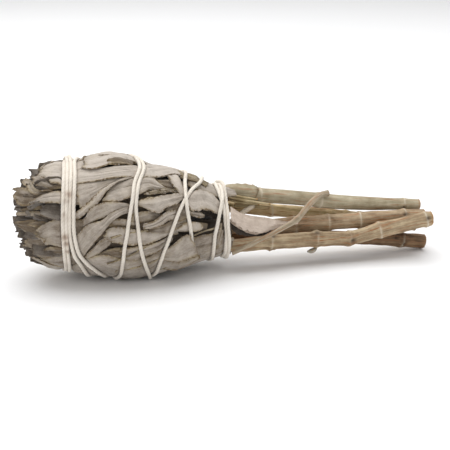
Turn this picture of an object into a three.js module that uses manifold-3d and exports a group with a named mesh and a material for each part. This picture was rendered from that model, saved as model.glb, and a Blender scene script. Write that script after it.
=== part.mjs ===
import * as THREE from 'three';
import Module from 'manifold-3d';

// A bundle of dried sage bound with one cotton thread. Millimetres, Z up.
// The leaf tips point to -X and the cut stems to +X. It lies on a flat spot under its belly.
// u runs along the stick from the leaf tips, phi turns round it (0 front, 90 top, 180 back),
// rho is the distance from its axis, and v and w are the sideways and upward offsets from it.

// Driving dimensions
const PITCH = 7 * Math.PI / 180;
const AXIS_HEIGHT = 22.7;
const BELLY_U = 39;
const ORIGIN_U = 78.5;
const ORIGIN_Y = 0.1;
const OUTLINE_U = [-4, 0, 6, 12, 20, 29, 37, 44, 52, 60, 68, 76, 86];
const OUTLINE_RHO = [9.5, 12.5, 16.5, 19, 20.2, 22.2, 23, 22.4, 20.6, 18.2, 15.4, 13.8, 12.3];
const SAG_U = [34, 44, 52, 72, 84];
const SAG_DROP = [0, 0.6, 0.9, 0.6, 0];
const TOP_U = [0, 6, 15, 24, 32, 41, 46, 51, 57, 63, 67, 72, 78];
const TOP_DROP = [0.9, 1.6, 2, 1.1, 0.2, 0.2, 1.2, 1.2, 0.3, 0.4, 0.9, 0.5, 0];
const UNDERSIDE_U = [0, 8, 15, 22, 30, 35];
const UNDERSIDE_DROP = [0.8, 1.4, 2, 1.4, 0.3, 0];
const CORE_DEPTH = 3.4;
const CORE_START_U = 11;
const CORE_END_U = 75;
const CLEARANCE = 0.3;
const FORM_TOLERANCE = 0.19;
const LEAF_EDGE_THICKNESS = 0.8;
const LEAF_SINK = 2.4;
const LEAF_CROWN = 0.35;
const LEAF_WAVE = 0.22;
const LEAF_ROW_LENGTH = 7;
const BRUSH_LEAVES = 44;
const BRUSH_LEAF_THICKNESS = 0.8;
const BRUSH_ROOT_U = 17;
const UNDER_LEAVES = 12;
const BACK_LEAVES = 26;
const BACK_TIP_LEAVES = 9;
const STEM_SIDES = 10;
const STEM_INNER_U = 32;
const THREAD_RADIUS = 0.7;
const THREAD_SIDES = 6;
const THREAD_SAMPLE_DEG = 6;
const THREAD_STEP_SAMPLES = 3;
const THREAD_SPACING = 1.46;
const THREAD_BITE = 1;
const THREAD_LOWEST_Z = 1.1;
const GROOVE_DEPTH = 4;

const wasm = await Module();
wasm.setup();

// Frame of the stick
function interpolate(x, xs, ys) {
  if (x <= xs[0]) return ys[0];
  for (let i = 1; i < xs.length; i++) {
    if (x <= xs[i]) {
      return ys[i - 1] + (ys[i] - ys[i - 1]) * (x - xs[i - 1]) / (xs[i] - xs[i - 1]);
    }
  }
  return ys[ys.length - 1];
}

const outline = (u) => interpolate(u, OUTLINE_U, OUTLINE_RHO);

function place(u, v, w) {
  const along = u - BELLY_U;
  return new THREE.Vector3(
    along * Math.cos(PITCH) + w * Math.sin(PITCH) + BELLY_U - ORIGIN_U,
    v + ORIGIN_Y,
    AXIS_HEIGHT - along * Math.sin(PITCH) + w * Math.cos(PITCH));
}

// How far the bundle hangs under its outline at u, phi
function sagAt(u, phi) {
  const rise = Math.sin(phi * Math.PI / 180);
  const drop = rise > 0
    ? interpolate(u, TOP_U, TOP_DROP)
    : interpolate(u, UNDERSIDE_U, UNDERSIDE_DROP);
  return interpolate(u, SAG_U, SAG_DROP) + drop * rise ** 4;
}

function placeRound(u, phi, rho) {
  const angle = phi * Math.PI / 180;
  return place(u, -rho * Math.cos(angle), rho * Math.sin(angle) - sagAt(u, phi));
}

const mix = (a, b, t) => a + (b - a) * t;

// A repeatable draw between 0 and 1 for item i, use k
function draw(i, k) {
  const x = Math.sin(i * 12.9898 + k * 78.233) * 43758.5453;
  return x - Math.floor(x);
}

const spread = (i, k, low, high) => mix(low, high, draw(i, k));

// Solids from grids of points
function signedVolume(points, triangles) {
  let six = 0;
  const cross = new THREE.Vector3();
  for (let i = 0; i < triangles.length; i += 3) {
    const [a, b, c] = [points[triangles[i]], points[triangles[i + 1]], points[triangles[i + 2]]];
    six += a.dot(cross.crossVectors(b, c));
  }
  return six / 6;
}

function solidFrom(points, triangles) {
  if (signedVolume(points, triangles) < 0) triangles.reverse();
  return new wasm.Manifold(new wasm.Mesh({
    numProp: 3,
    vertProperties: new Float32Array(points.flatMap((p) => [p.x, p.y, p.z])),
    triVerts: new Uint32Array(triangles),
  }));
}

// A blade from a grid of upper points and the matching grid of lower points
function bladeSolid(upper, lower) {
  const rows = upper.length;
  const columns = upper[0].length;
  const points = [...upper.flat(), ...lower.flat()];
  const base = rows * columns;
  const triangles = [];
  const quad = (a, b, c, d) => triangles.push(a, b, c, a, c, d);
  for (let i = 0; i < rows - 1; i++) {
    for (let j = 0; j < columns - 1; j++) {
      const a = i * columns + j;
      quad(a, a + 1, a + columns + 1, a + columns);
      triangles.push(base + a, base + a + columns + 1, base + a + 1);
      triangles.push(base + a, base + a + columns, base + a + columns + 1);
    }
  }
  for (let j = 0; j < columns - 1; j++) {
    const last = (rows - 1) * columns + j;
    quad(base + j, base + j + 1, j + 1, j);
    quad(last, last + 1, base + last + 1, base + last);
  }
  for (let i = 0; i < rows - 1; i++) {
    const left = i * columns;
    const right = left + columns - 1;
    quad(left, left + columns, base + left + columns, base + left);
    quad(base + right, base + right + columns, right + columns, right);
  }
  return solidFrom(points, triangles);
}

// A closed solid of rings of points, flat at both ends
function ringSolid(rings) {
  const sides = rings[0].length;
  const points = rings.flat();
  const triangles = [];
  for (let i = 0; i < rings.length - 1; i++) {
    for (let j = 0; j < sides; j++) {
      const a = i * sides + j;
      const b = i * sides + (j + 1) % sides;
      triangles.push(a, b, b + sides, a, b + sides, a + sides);
    }
  }
  const last = (rings.length - 1) * sides;
  for (let j = 1; j < sides - 1; j++) {
    triangles.push(0, j + 1, j);
    triangles.push(last, last + j, last + j + 1);
  }
  return solidFrom(points, triangles);
}

// Rings of a tube along a path. Each section is an outline of [across, out] offsets.
function tubeRings(path, outs, sectionAt) {
  return path.map((centre, i) => {
    const before = path[Math.max(i - 1, 0)];
    const after = path[Math.min(i + 1, path.length - 1)];
    const tangent = after.clone().sub(before).normalize();
    const out = outs[i].clone().addScaledVector(tangent, -outs[i].dot(tangent)).normalize();
    const across = tangent.clone().cross(out);
    return sectionAt(i).map(([a, b]) =>
      centre.clone().addScaledVector(across, a).addScaledVector(out, b));
  });
}

function roundSection(radius, sides, turn = 0) {
  return Array.from({ length: sides }, (_, j) => {
    const angle = 2 * Math.PI * j / sides + turn;
    return [radius * Math.cos(angle), radius * Math.sin(angle)];
  });
}

// Leaves on the outline. An edge lists [u, phi, height over the outline] from root to tip.
function edgeCurve(edge) {
  return new THREE.CatmullRomCurve3(edge.map((p) => new THREE.Vector3(...p)), false, 'catmullrom', 0.5);
}

function edgeLength(edge) {
  let length = 0;
  for (let i = 1; i < edge.length; i++) {
    const turn = (edge[i][1] - edge[i - 1][1]) * Math.PI / 180 * outline(edge[i][0]);
    length += Math.hypot(edge[i][0] - edge[i - 1][0], turn);
  }
  return length;
}

function leafSolid({ edges, seed, columns = 3, tear = [] }) {
  const [curveA, curveB] = edges.map(edgeCurve);
  const length = (edgeLength(edges[0]) + edgeLength(edges[1])) / 2;
  const rows = Math.min(8, Math.max(3, Math.round(length / LEAF_ROW_LENGTH)));
  const upper = [];
  const lower = [];
  for (let i = 0; i <= rows; i++) {
    const t = i / rows;
    const a = curveA.getPoint(t);
    const b = curveB.getPoint(t);
    upper.push([]);
    lower.push([]);
    for (let j = 0; j <= columns; j++) {
      const c = 2 * j / columns - 1;
      const p = a.clone().lerp(b, (c + 1) / 2);
      const u = i === rows ? p.x - (tear[j] ?? 0) : p.x;
      const ripple = LEAF_WAVE * Math.sin(7 * t + seed * 2.3 + 1.7 * c);
      const rho = outline(u) + p.z + LEAF_CROWN * (1 - c * c) + ripple;
      const depth = LEAF_EDGE_THICKNESS + LEAF_SINK * (1 - c * c) * (1 - t ** 3);
      upper[i].push(placeRound(u, p.y, rho));
      lower[i].push(placeRound(u, p.y, rho - depth));
    }
  }
  return bladeSolid(upper, lower);
}

// Leaves seen from the front, from the brush to the neck
const BRUSH_END_LEAVES = [
  [[[24, 6, -1.3], [17.8, 10, -0.8], [13.2, 8, -0.1], [10.8, 6, 0.2], [7.8, 2, 0.3], [5.5, 1, 0.3]],
    [[24, -28, -1.3], [19, -28, -0.8], [15.2, -30, -0.1], [12.8, -28, 0.2], [10.2, -27, 0.3],
      [8.2, -28, 0.3]], [0, 2.2, -0.2, 0]],
  [[[26, 42, -1.2], [17.5, 42, -0.9], [12.8, 39, -0.1], [9.2, 37, 0.2], [6.2, 33, 0.3], [4, 28.5, 0.3],
    [2.2, 24, 0.2]],
    [[26, 24, -1.2], [17.8, 23, -0.9], [13, 22, -0.2], [9.5, 21.5, 0], [6, 22, 0.1], [4, 22.5, 0.2],
      [2.2, 22.8, 0.2]]],
  [[[28, 102, -1], [22, 104, -0.5], [16, 106, 0.1], [12, 107, 0.3], [9.5, 97, 0.3], [6.5, 84, 0.3]],
    [[24, 50, -0.9], [17.5, 48, -0.5], [12.8, 47, 0.1], [9.2, 46, 0.4], [7, 56, 0.5], [5.2, 74, 0.3]],
      [0, 0.8, -0.5, 0.4]],
  [[[30, 66, -0.9], [22, 62, -0.8], [16, 58, -1], [10, 57, -1], [5, 56, -0.5]],
    [[30, 51, -0.6], [25, 50, -0.5], [18, 45, -0.8], [11, 42, -1], [4, 43, -0.8]]],
  [[[14, 52, -2.3], [9.5, 53, -1.8], [6, 56, -1.4], [3.5, 64, -0.9], [1.5, 76, -0.5]],
    [[14, 42, -2.3], [9.5, 38, -1.7], [5.8, 35, -0.9], [2.5, 43, -0.6], [0.5, 60, -0.6]], [0, 0.6, 0, 0.4]],
  [[[14, 38, -3], [9, 37, -2.3], [5.8, 38, -1.6], [2.8, 45, -1.2], [0, 54, -0.9], [-2, 58, -0.5]],
    [[14, 20, -3], [8, 19, -1.8], [3.8, 18, -1.3], [1, 19, -1], [-1.8, 30, -0.6]], [0, 0.8, -0.5, 0.7]],
  [[[15, 19, -3.2], [11.2, 19, -2.6], [8, 18, -1.8], [3.5, 16, -1.2], [0.2, 13, -1], [-1.2, 10, -1]],
    [[15, 8, -3.2], [11.5, 8, -2.6], [8.2, 7, -1.8], [3.8, 4, -1.2], [0.8, 3, -1], [-1, 4, -1]]],
  [[[14, 3, -2.3], [9, 2, -1.5], [5.8, -1, -0.9], [2.5, -4, -0.8]],
    [[14, -8, -2.2], [9, -9, -1.5], [6.2, -10, -0.9], [2.8, -12, -0.9]]],
  [[[14, -6, -3], [8, -4, -2.2], [4, -4, -1.6], [1, -6, -1.4], [-1.2, -11, -1.3]],
    [[14, -28, -3], [10.8, -28, -2.4], [6.2, -29, -1.8], [3, -33, -1.5], [0.5, -25, -1.4]],
      [0, -0.6, 0.8, 0]],
  [[[14, -24, -2.4], [10.5, -23, -1.9], [6.8, -24, -1.3], [4.5, -27, -1.1], [2.8, -32, -1]],
    [[14, -42, -2.3], [11.2, -41, -1.9], [7.5, -44, -1.4], [5, -51, -1.2], [2.8, -60, -1]],
      [0, -0.5, 0.6, 0]],
  [[[22, -30, -1], [15, -32, -0.6], [10.6, -35, -0.2]],
    [[22, -54, -0.9], [15, -54, -0.5], [10, -50, -0.1]], [0, 1, -0.6, 0.5]],
  [[[18, -46, -1.6], [12, -48, -1.2], [7.6, -54, -0.6]],
    [[18, -72, -1.4], [12, -72, -0.8], [6.6, -66, -0.6]], [0, -0.5, 0.6, 0]],
  [[[26, 124, -0.6], [18, 122, -0.1], [12, 118, 0], [9.5, 112, -0.2]],
    [[26, 100, -0.6], [18, 98, -0.3], [12, 94, -0.4], [10, 88, -0.6]], [0, -0.8, 1, 0]],
];
const MIDDLE_LEAVES = [
  [[[64, 106, -0.8], [57, 106, 0], [50, 102, 0.1], [44, 84, 0.1], [39, 71, 0.1], [32, 66, 0.1],
    [25.2, 66, 0], [21.5, 70, -0.1], [17.8, 71, -0.3]],
    [[61, 79, -0.8], [54.8, 75, 0.2], [49, 64, 0.3], [42.2, 56, 0.2], [35.8, 52, 0.1], [31, 50, 0.2],
      [25.2, 48, 0.2], [21.5, 47, 0.1], [17.2, 46, -0.1]]],
  [[[42, 112, -0.6], [37, 114, 0.2], [32, 112, 0.5], [26, 108, 0.4], [22.5, 104, 0.2]],
    [[35.8, 72, -0.6], [32.5, 67, -0.1], [30, 66, 0.5], [25, 63, 0.7], [21.2, 67, 0.5]]],
  [[[50, 120, -0.2], [42, 122, 0.3], [34, 120, 0.4], [27, 116, 0.2]],
    [[41.8, 84, -0.4], [37, 80, 0.1], [33, 86, 0.3], [27.2, 92, 0.2]]],
  [[[38.2, 66, -1], [33, 54, -0.7], [26.8, 50, -0.5], [21.5, 49, -0.4], [17.5, 46, -0.5]],
    [[33.5, 42, -1], [29.6, 41, -0.6], [24.8, 32, -0.3], [22, 24, -0.2], [19.8, 18, -0.2]]],
  [[[39, 57, -0.5], [35, 51, 0.1], [30.2, 44, 0.4], [26, 36, 0.5], [23.5, 28, 0.5], [21.2, 22, 0.4],
    [18.2, 15, 0.2], [15.5, 12, -0.2]],
    [[38.8, 54, -0.5], [35, 48, 0.2], [32.2, 44, 0.5], [28.8, 36, 0.6], [25.8, 25, 0.6], [23, 18, 0.4],
      [20.5, 10, 0.1], [18, 6, -0.3]]],
  [[[55.2, 50, -0.9], [51.2, 48, -0.2], [48, 53, 0.1], [45.8, 59, 0], [41.5, 56, -0.1], [37, 51, -0.2],
    [34, 47, -0.5], [30.2, 41, -0.8]],
    [[55.2, 46, -0.9], [51.2, 46, -0.3], [45, 44, 0], [41.2, 37, 0.2], [37.2, 32, 0.3], [33, 27, 0.2],
      [30.5, 26.5, 0], [26.8, 26, -0.6]]],
  [[[38.2, 24, -0.6], [35, 25.5, 0.1], [32.5, 26, 0.3], [29.5, 26, 0.4], [26.2, 24, 0.4], [23.5, 20, 0.3],
    [22, 14, 0.2], [21.2, 10, 0.1]],
    [[37.5, 18, -0.8], [34.5, 19.5, -0.3], [32.2, 19, 0], [28.2, 12, 0], [25.2, 8, -0.1], [23, 4, -0.1],
      [21.8, 2, -0.1], [21, 0, -0.2]]],
  [[[38.5, 25, -0.4], [35, 22, 0.3], [30.2, 16, 0.6], [27, 9, 0.7], [23.8, 6, 0.7], [21.2, 0, 0.6],
    [19, -13, 0.3], [18.2, -22, -0.1]],
    [[38.8, 17, -0.4], [35, 16, 0.3], [31, 9, 0.6], [28.5, 0, 0.6], [26.2, -10, 0.6], [24, -22, 0.5],
      [22.2, -38, 0.3], [21, -44, 0.1]]],
  [[[39, 11, -1.1], [34, 10.5, -0.8], [30, 10, -0.9]],
    [[39, 4, -1.2], [34, 3.5, -0.9], [29.5, 3, -1]]],
  [[[55.2, 5, -0.9], [51.5, 2, -0.3], [47, 2, 0], [41.5, 3, 0.1], [36.2, 4, 0.1], [33.5, 4, 0],
    [30.8, 3, -0.1], [28.8, 0, -0.4]],
    [[55.5, 0, -0.9], [52, -1, -0.4], [47.5, -6, -0.1], [43, -10, 0], [37, -12, 0], [34.8, -12, -0.1],
      [31.5, -11, -0.1], [28.5, -8, -0.4]]],
  [[[30.2, -5, -0.6], [27.2, -12, -0.4], [24.5, -24, -0.3], [22.2, -36, -0.4]],
    [[31.4, -13, -0.4], [29.4, -20, -0.1], [26.8, -30, -0.1], [23.2, -42, -0.3]]],
  [[[45, -27, -0.6], [38.5, -28, -0.2], [34.2, -28, 0], [29.8, -26, 0.1], [26.2, -30, 0.1], [22.5, -40, 0],
    [19.5, -56, -0.3]],
    [[46, -84, -0.8], [40, -84, -0.3], [34, -84, -0.1], [29, -82, 0], [24, -80, 0], [20, -76, -0.1],
      [17, -72, -0.4]]],
  [[[38.5, -16, -1], [35, -17, -0.9], [31, -20, -0.8], [27.2, -28, -0.9]],
    [[39, -31, -1.1], [35.5, -32, -1], [31.8, -33, -1], [27.5, -38, -1]]],
  [[[53.5, 1, -0.6], [50.5, -4, -0.1], [46.8, -8, 0.1], [43, -11, 0.2], [38, -14, 0.1], [34.2, -18, -0.1]],
    [[53.5, -8, -0.7], [49.8, -16, -0.1], [47.5, -20, 0.1], [45.2, -22, 0.1], [41, -27, 0],
      [37.5, -30, -0.2]]],
  [[[52.2, -14, -0.7], [49.8, -17, -0.3], [46, -24, -0.1], [41, -28, -0.1], [36.8, -32, -0.3]],
    [[57, -48, -0.5], [51.5, -54, 0], [44, -72, 0.1], [38, -78, 0], [32, -80, -0.3]]],
  [[[49.8, -23, -0.4], [52.2, -13, 0.5], [54.8, -6, 0.8], [57.5, 0, 0.8], [60, 0, 0.6]],
    [[50.5, -29, -0.4], [54.2, -30, 0.4], [57.8, -32, 0.6], [61.2, -29, 0.8], [64.5, -26, 0.7]]],
  [[[50.8, -29, -0.4], [57.2, -35, 0.2], [61.5, -32, 0.5], [65, -29, 0.4]],
    [[52, -48, -0.4], [57, -49, 0.1], [61, -44, 0.3], [65.5, -37, 0.2]]],
  [[[58.8, 50, -0.4], [56.5, 44, 0.4], [52.8, 42, 0.8], [47, 36, 0.8], [44.2, 34, 0.7], [39.5, 30, 0.4],
    [38, 28, -0.3]],
    [[58.2, 42, -0.4], [55.8, 36, 0.4], [53, 29, 0.8], [50.2, 26, 0.9], [47.5, 20, 0.9], [43.2, 22, 0.8],
      [38.8, 26, -0.2]]],
  [[[73, 44, -0.8], [70.8, 50, 0], [68.5, 56, 0.5], [65.8, 58, 0.6], [62.2, 54, 0.6], [58.8, 48, 0.5],
    [56.8, 43, 0.1]],
    [[72.8, 25, -0.8], [69, 22, 0.3], [66.5, 24, 0.8], [63.8, 23, 0.9], [60, 22, 0.8], [58.5, 30, 0.6],
      [57, 37, 0.1]]],
  [[[58.8, 31, -0.7], [54.8, 33, -0.3], [51.5, 28, -0.2], [49.8, 25, -0.5]],
    [[59.5, 20, -0.7], [56.2, 14, -0.3], [53.5, 16, -0.2], [51.4, 21, -0.5]]],
  [[[55, 26, -0.7], [51.5, 24, 0.2], [48.2, 18, 0.5], [46, 13, 0.6], [42, 9, 0.6]],
    [[56, 18, -0.7], [51.2, 14, 0.2], [48, 8, 0.5], [44.2, 5, 0.6], [42.2, 4, 0.6]]],
  [[[48, 22, -1], [44, 21, -0.5], [40.5, 19, -0.4], [37.2, 16, -0.6]],
    [[48, 14, -1.2], [45, 12, -0.7], [40.8, 9, -0.5], [37.5, 8, -0.7]]],
  [[[58.2, 18, -1.2], [54.2, 17, -0.7], [51.2, 12, -0.6], [47.5, 7, -0.6], [44.5, 5, -0.8]],
    [[58.5, 8, -1.2], [55.2, 5, -0.8], [52.8, 1, -0.6], [49, 0, -0.5], [44.8, 0, -0.8]]],
  [[[60, -76, -0.6], [50, -74, 0.4], [41, -74, 1.2], [32, -77, 0.6], [24, -84, -0.6]],
    [[60, -112, -0.8], [50, -114, 0.4], [41, -112, 1.2], [32, -109, 0.6], [24, -106, -0.6]]],
  [[[57.5, 68, -1], [51.8, 64, -0.6], [47.2, 60, -0.6]],
    [[57, 52, -1], [52, 50, -0.6], [49, 51, -0.6]]],
  [[[57, 96, -0.5], [61, 96, 0.4], [65, 93, 0.6], [68.4, 86, 0.1]],
    [[57, 74, -0.5], [61, 73, 0], [65, 75, 0.3], [68, 79, 0]]],
  [[[67, 11, -1.8], [62, 13, -1], [58, 12, -0.9], [54, 10, -1.6]],
    [[67, 3, -1.8], [62, 1, -0.8], [58, 1, -0.8], [54, 3, -1.6]]],
  [[[66, -33, -0.5], [58, -40, 0], [51, -46, 0.1], [44, -52, -0.1]],
    [[66, -48, -0.5], [58, -54, -0.1], [51, -62, -0.1], [44, -68, -0.4]]],
  [[[78, -14, -0.9], [71, -3, -0.4], [66, -4, -0.4], [60.5, -7, -0.9]],
    [[78, -34, -0.8], [71, -46, -0.1], [66, -47, 0], [59, -44, -0.5]]],
  [[[74, 1, -0.2], [73.2, -9, 0.3], [73, -18, 0.3], [72, -31, -0.2]],
    [[71, 1, -0.2], [70.4, -9, 0.3], [70.5, -18, 0.3], [70.8, -31, -0.2]]],
  [[[48, 66, -1.5], [40, 64, -1.2], [33, 60, -1.3]],
    [[49, 54, -1.2], [41, 51, -1], [34, 49, -1.1]]],
  [[[46, 13, -1.9], [38, 11, -1.6], [30, 8, -1.5], [24, -4, -1.6]],
    [[46, -6, -1.7], [38, -8, -1.5], [30, -10, -1.4], [25, -18, -1.4]]],
  [[[79, 88, -1.2], [73, 95, -0.6], [67, 94, -0.5], [60, 92, -1]],
    [[79, 66, -1.3], [73, 59, -0.9], [67, 60, -0.8], [60, 62, -1.2]]],
  [[[79, -52, -1], [73, -44, -0.4], [66, -47, -0.1], [57, -56, -0.2]],
    [[79, -70, -1.2], [73, -80, -0.6], [66, -82, -0.2], [57, -84, -0.4]]],
  [[[51.6, 69, 0], [52.8, 55, 0.4], [54.3, 47, 0.4], [55.6, 42, -0.2]],
    [[55.8, 74, 0], [56.9, 61, 0.3], [57.6, 50, 0.3], [58.2, 43, -0.2]]],
];

// Leaves laid by rule from a root to a tip, widest near the middle
const WIDTH_ALONG = [0.5, 0.86, 1, 0.94, 0.66, 0.16];

function ruleEdges({ uRoot, phiRoot, uTip, phiTip, width, hRoot, hTip }) {
  const edges = [[], []];
  WIDTH_ALONG.forEach((share, i) => {
    const t = i / (WIDTH_ALONG.length - 1);
    const u = mix(uRoot, uTip, t);
    const phi = mix(phiRoot, phiTip, t);
    const height = mix(hRoot, hTip, t);
    const millimetresPerDegree = (outline(u) + height) * Math.PI / 180;
    const along = new THREE.Vector2(uTip - uRoot, (phiTip - phiRoot) * millimetresPerDegree).normalize();
    const half = width / 2 * share;
    edges[0].push([u - along.y * half, phi + along.x * half / millimetresPerDegree, height]);
    edges[1].push([u + along.y * half, phi - along.x * half / millimetresPerDegree, height]);
  });
  return edges;
}

// A second layer of leaves all round, under the ones that show
function underLeaf(i) {
  const phi = 137.5 * i;
  const uRoot = mix(77, 42, ((i * 7) % UNDER_LEAVES) / UNDER_LEAVES);
  return leafSolid({
    edges: ruleEdges({
      uRoot,
      phiRoot: phi,
      uTip: Math.max(uRoot - spread(i, 1, 30, 38), 9),
      phiTip: phi + spread(i, 2, -26, 26),
      width: spread(i, 3, 11, 15),
      hRoot: -2.6,
      hTip: -1.5,
    }),
    seed: i,
    columns: 2,
  });
}

// The outer leaves of the back and the underside
function backLeaf(i) {
  const phi = 108 + 150 * ((i * 0.618034) % 1);
  const uRoot = mix(78, 33, i / (BACK_LEAVES - 1));
  return leafSolid({
    edges: ruleEdges({
      uRoot,
      phiRoot: phi,
      uTip: Math.max(uRoot - spread(i, 4, 28, 40), spread(i, 5, 6, 10)),
      phiTip: phi + spread(i, 6, -30, 30),
      width: spread(i, 7, 11, 16),
      hRoot: -1.2,
      hTip: spread(i, 8, -0.2, 0.3),
    }),
    seed: i + 50,
    columns: 2,
  });
}

// Leaves of the back and the underside whose torn ends reach past the left band
function backTipLeaf(i) {
  const phi = 112 + 172 * i / (BACK_TIP_LEAVES - 1);
  const uTip = spread(i, 9, 5, 9);
  return leafSolid({
    edges: [
      [[24, phi + 11, -1], [16, phi + 12, -0.5], [uTip, phi + 9, 0]],
      [[24, phi - 11, -0.8], [16, phi - 12, -0.3], [uTip, phi - 9, 0.1]],
    ],
    seed: i + 90,
    tear: [0, spread(i, 10, -1.5, 1.5), spread(i, 11, -1.5, 1.5), 0],
  });
}

// The brush of leaf tips. A share is the part of the head's radius that a leaf runs at.
const brushTipU = (share) => -1.4 + 11.5 * share ** 4.3;

function brushLeaf(i) {
  const share = Math.sqrt((i + 0.5) / BRUSH_LEAVES) * 0.92;
  const phi = 137.5 * i;
  const half = spread(i, 12, 3, 4.6);
  const roll = spread(i, 13, -2.2, 2.2);
  const bow = spread(i, 14, -10, 10);
  const tipU = brushTipU(share) + spread(i, 15, 0, 2.6);
  const sag = share * sagAt(8, phi);
  const upper = [];
  const lower = [];
  const widths = [1, 1, 0.92, 0.4];
  widths.forEach((width, row) => {
    const t = row / (widths.length - 1);
    const u = mix(BRUSH_ROOT_U, tipU, t);
    const rho = share * mix(20, 18.2, t);
    upper.push([]);
    lower.push([]);
    for (let j = 0; j <= 2; j++) {
      const c = j - 1;
      const angle = (phi + bow * t * t) * Math.PI / 180;
      const out = rho + roll * c * width + 0.7 * (1 - c * c);
      const across = c * half * width;
      const v = -out * Math.cos(angle) - across * Math.sin(angle);
      const w = out * Math.sin(angle) - across * Math.cos(angle) - sag;
      const v2 = v + BRUSH_LEAF_THICKNESS * Math.cos(angle);
      const w2 = w - BRUSH_LEAF_THICKNESS * Math.sin(angle);
      upper[row].push(place(u, v, w));
      lower[row].push(place(u, v2, w2));
    }
  });
  return bladeSolid(upper, lower);
}

// The core that the leaves stand out of
function coreSolid() {
  const stations = [CORE_START_U, 18, 28, 38, 48, 58, 66, CORE_END_U];
  return ringSolid(stations.map((u, i) => Array.from({ length: 20 }, (_, j) => {
    const phi = 18 * j;
    return placeRound(u, phi, outline(u) - CORE_DEPTH - 0.6 * draw(i * 20 + j, 16));
  })));
}

// A thin leaf stalk that lies in the hollow by the right band
function hollowStalk() {
  const points = [[60.5, -4, -0.9], [64, -1.5, -0.5], [67, 2, -0.6], [70.5, 5.5, -0.9]];
  const path = points.map(([u, phi, height]) => placeRound(u, phi, outline(u) + height));
  const outs = points.map(([u, phi]) => placeRound(u, phi, 1).sub(placeRound(u, phi, 0)));
  return ringSolid(tubeRings(path, outs, () => roundSection(0.75, 6)));
}

// The five stems. A row is [u, v, w, radius], from the neck to the cut end.
const STEMS = {
  stem_a: {
    colour: 0xa69b84,
    rows: [[77.4, 5, 8.7, 2.5], [91.7, 5, 9, 2.8], [106.1, 5, 8.9, 2.8], [121.4, 5, 8.3, 2.8],
      [135.8, 5, 8.4, 2.6], [149.4, 5.1, 9, 2.2], [156.6, 5.1, 9.2, 2.05]],
    joints: [92, 118, 149.4],
  },
  stem_b: {
    colour: 0x8d7c5e,
    rows: [[79.7, 8, 3.1, 2.1], [94.5, 8, 2.7, 2.3], [108.7, 8, 2.5, 2.3], [121.2, 8, 2.2, 2.3],
      [142.4, 8, 0.9, 2.3], [157.8, 8, -0.1, 2.3]],
    joints: [96.5, 128],
  },
  stem_c: {
    colour: 0x9a7c5c,
    rows: [[79, -0.8, -2.5, 2.3], [86.9, -0.8, -2.2, 2.5], [96.6, -0.8, -1.2, 2.7],
      [105.6, -0.8, 0.1, 2.8], [117.6, -0.8, 1.4, 2.85], [130, -0.8, 3.1, 2.95],
      [145.5, -0.7, 4.9, 2.85], [156.8, -0.6, 5.9, 2.75]],
    joints: [104.2, 117.6, 130, 148.5],
  },
  stem_d: {
    colour: 0xa98c66,
    rows: [[79.1, -6.6, -8.1, 2.25], [91.7, -6.8, -6.1, 2.6], [101.4, -6.8, -5, 2.75],
      [111.6, -6.8, -3.8, 2.85], [120.3, -6.8, -3.1, 2.7], [124.8, -6.8, -2.8, 2.65],
      [130.6, -6.8, -1, 2.65], [136.4, -6.9, 1.2, 2.9], [143.5, -7, 3.2, 2.95],
      [153.2, -7, 6.1, 2.8], [157.2, -7, 7, 2.7]],
    joints: [93.8, 111.6, 124.8, 136.4, 154.4],
  },
  stem_e: {
    colour: 0x72583f,
    rows: [[82.3, 2.2, -7.5, 2.3], [108.1, 2, -5.8, 2.5], [124.4, 2, -5.2, 2.6], [140.6, 2, -4.8, 2.7],
      [150.4, 2, -4.8, 2.85], [159.8, 2, -5, 2.9]],
    joints: [118, 150],
  },
};
const JOINT_BULGE = 0.4;

// The path inside the head draws in towards the axis and thins out
function stemRows({ rows, joints }) {
  const [u, v, w, radius] = rows[0];
  const inner = [
    [STEM_INNER_U, v * 0.6, w * 0.6, radius * 0.42],
    [STEM_INNER_U + 18, v * 0.8, w * 0.8, radius * 0.7],
    [u - 9, v * 0.97, w * 0.97, radius * 0.93],
  ];
  const all = [...inner, ...rows];
  const at = (x, k) => interpolate(x, all.map((row) => row[0]), all.map((row) => row[k]));
  const plain = all.filter((row) => joints.every((j) => Math.abs(j - row[0]) > 1.6));
  const bulges = joints.flatMap((j) => [
    [j - 1.3, at(j - 1.3, 1), at(j - 1.3, 2), at(j - 1.3, 3)],
    [j, at(j, 1), at(j, 2), at(j, 3) + JOINT_BULGE],
    [j + 1.3, at(j + 1.3, 1), at(j + 1.3, 2), at(j + 1.3, 3)],
  ]);
  return [...plain, ...bulges].sort((a, b) => a[0] - b[0]);
}

function stemSolid(stem, grow) {
  const rows = stemRows(stem);
  const path = rows.map(([u, v, w]) => place(u, v, w));
  const outs = rows.map(() => new THREE.Vector3(0, -1, 0));
  path[0].x -= grow;
  return ringSolid(tubeRings(path, outs, (i) => roundSection(rows[i][3] + grow, STEM_SIDES)));
}

// The old leaf sheath that wraps the top of the grey stem by the neck
const SHEATH_ROWS = [[76, 5, 9.4, 2.7], [80, 5, 9.9, 3], [85, 4.9, 10, 3.1], [88.2, 5, 9.9, 3],
  [89, 5, 9.6, 2.8]];

function sheathSolid(grow) {
  const path = SHEATH_ROWS.map(([u, v, w]) => place(u, v, w));
  const outs = path.map(() => new THREE.Vector3(0, -1, 0));
  return ringSolid(tubeRings(path, outs, (i) => roundSection(SHEATH_ROWS[i][3] + grow, STEM_SIDES)));
}

// A broken side twig of the stem behind
function stubTwig() {
  const path = [place(89.5, 6.2, 5), place(86.3, 3.9, 3.6), place(83, 2.6, 1.2)];
  const outs = path.map(() => new THREE.Vector3(0, -1, 0));
  return ringSolid(tubeRings(path, outs, (i) => roundSection([0.9, 0.85, 0.7][i], 6)));
}

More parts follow.
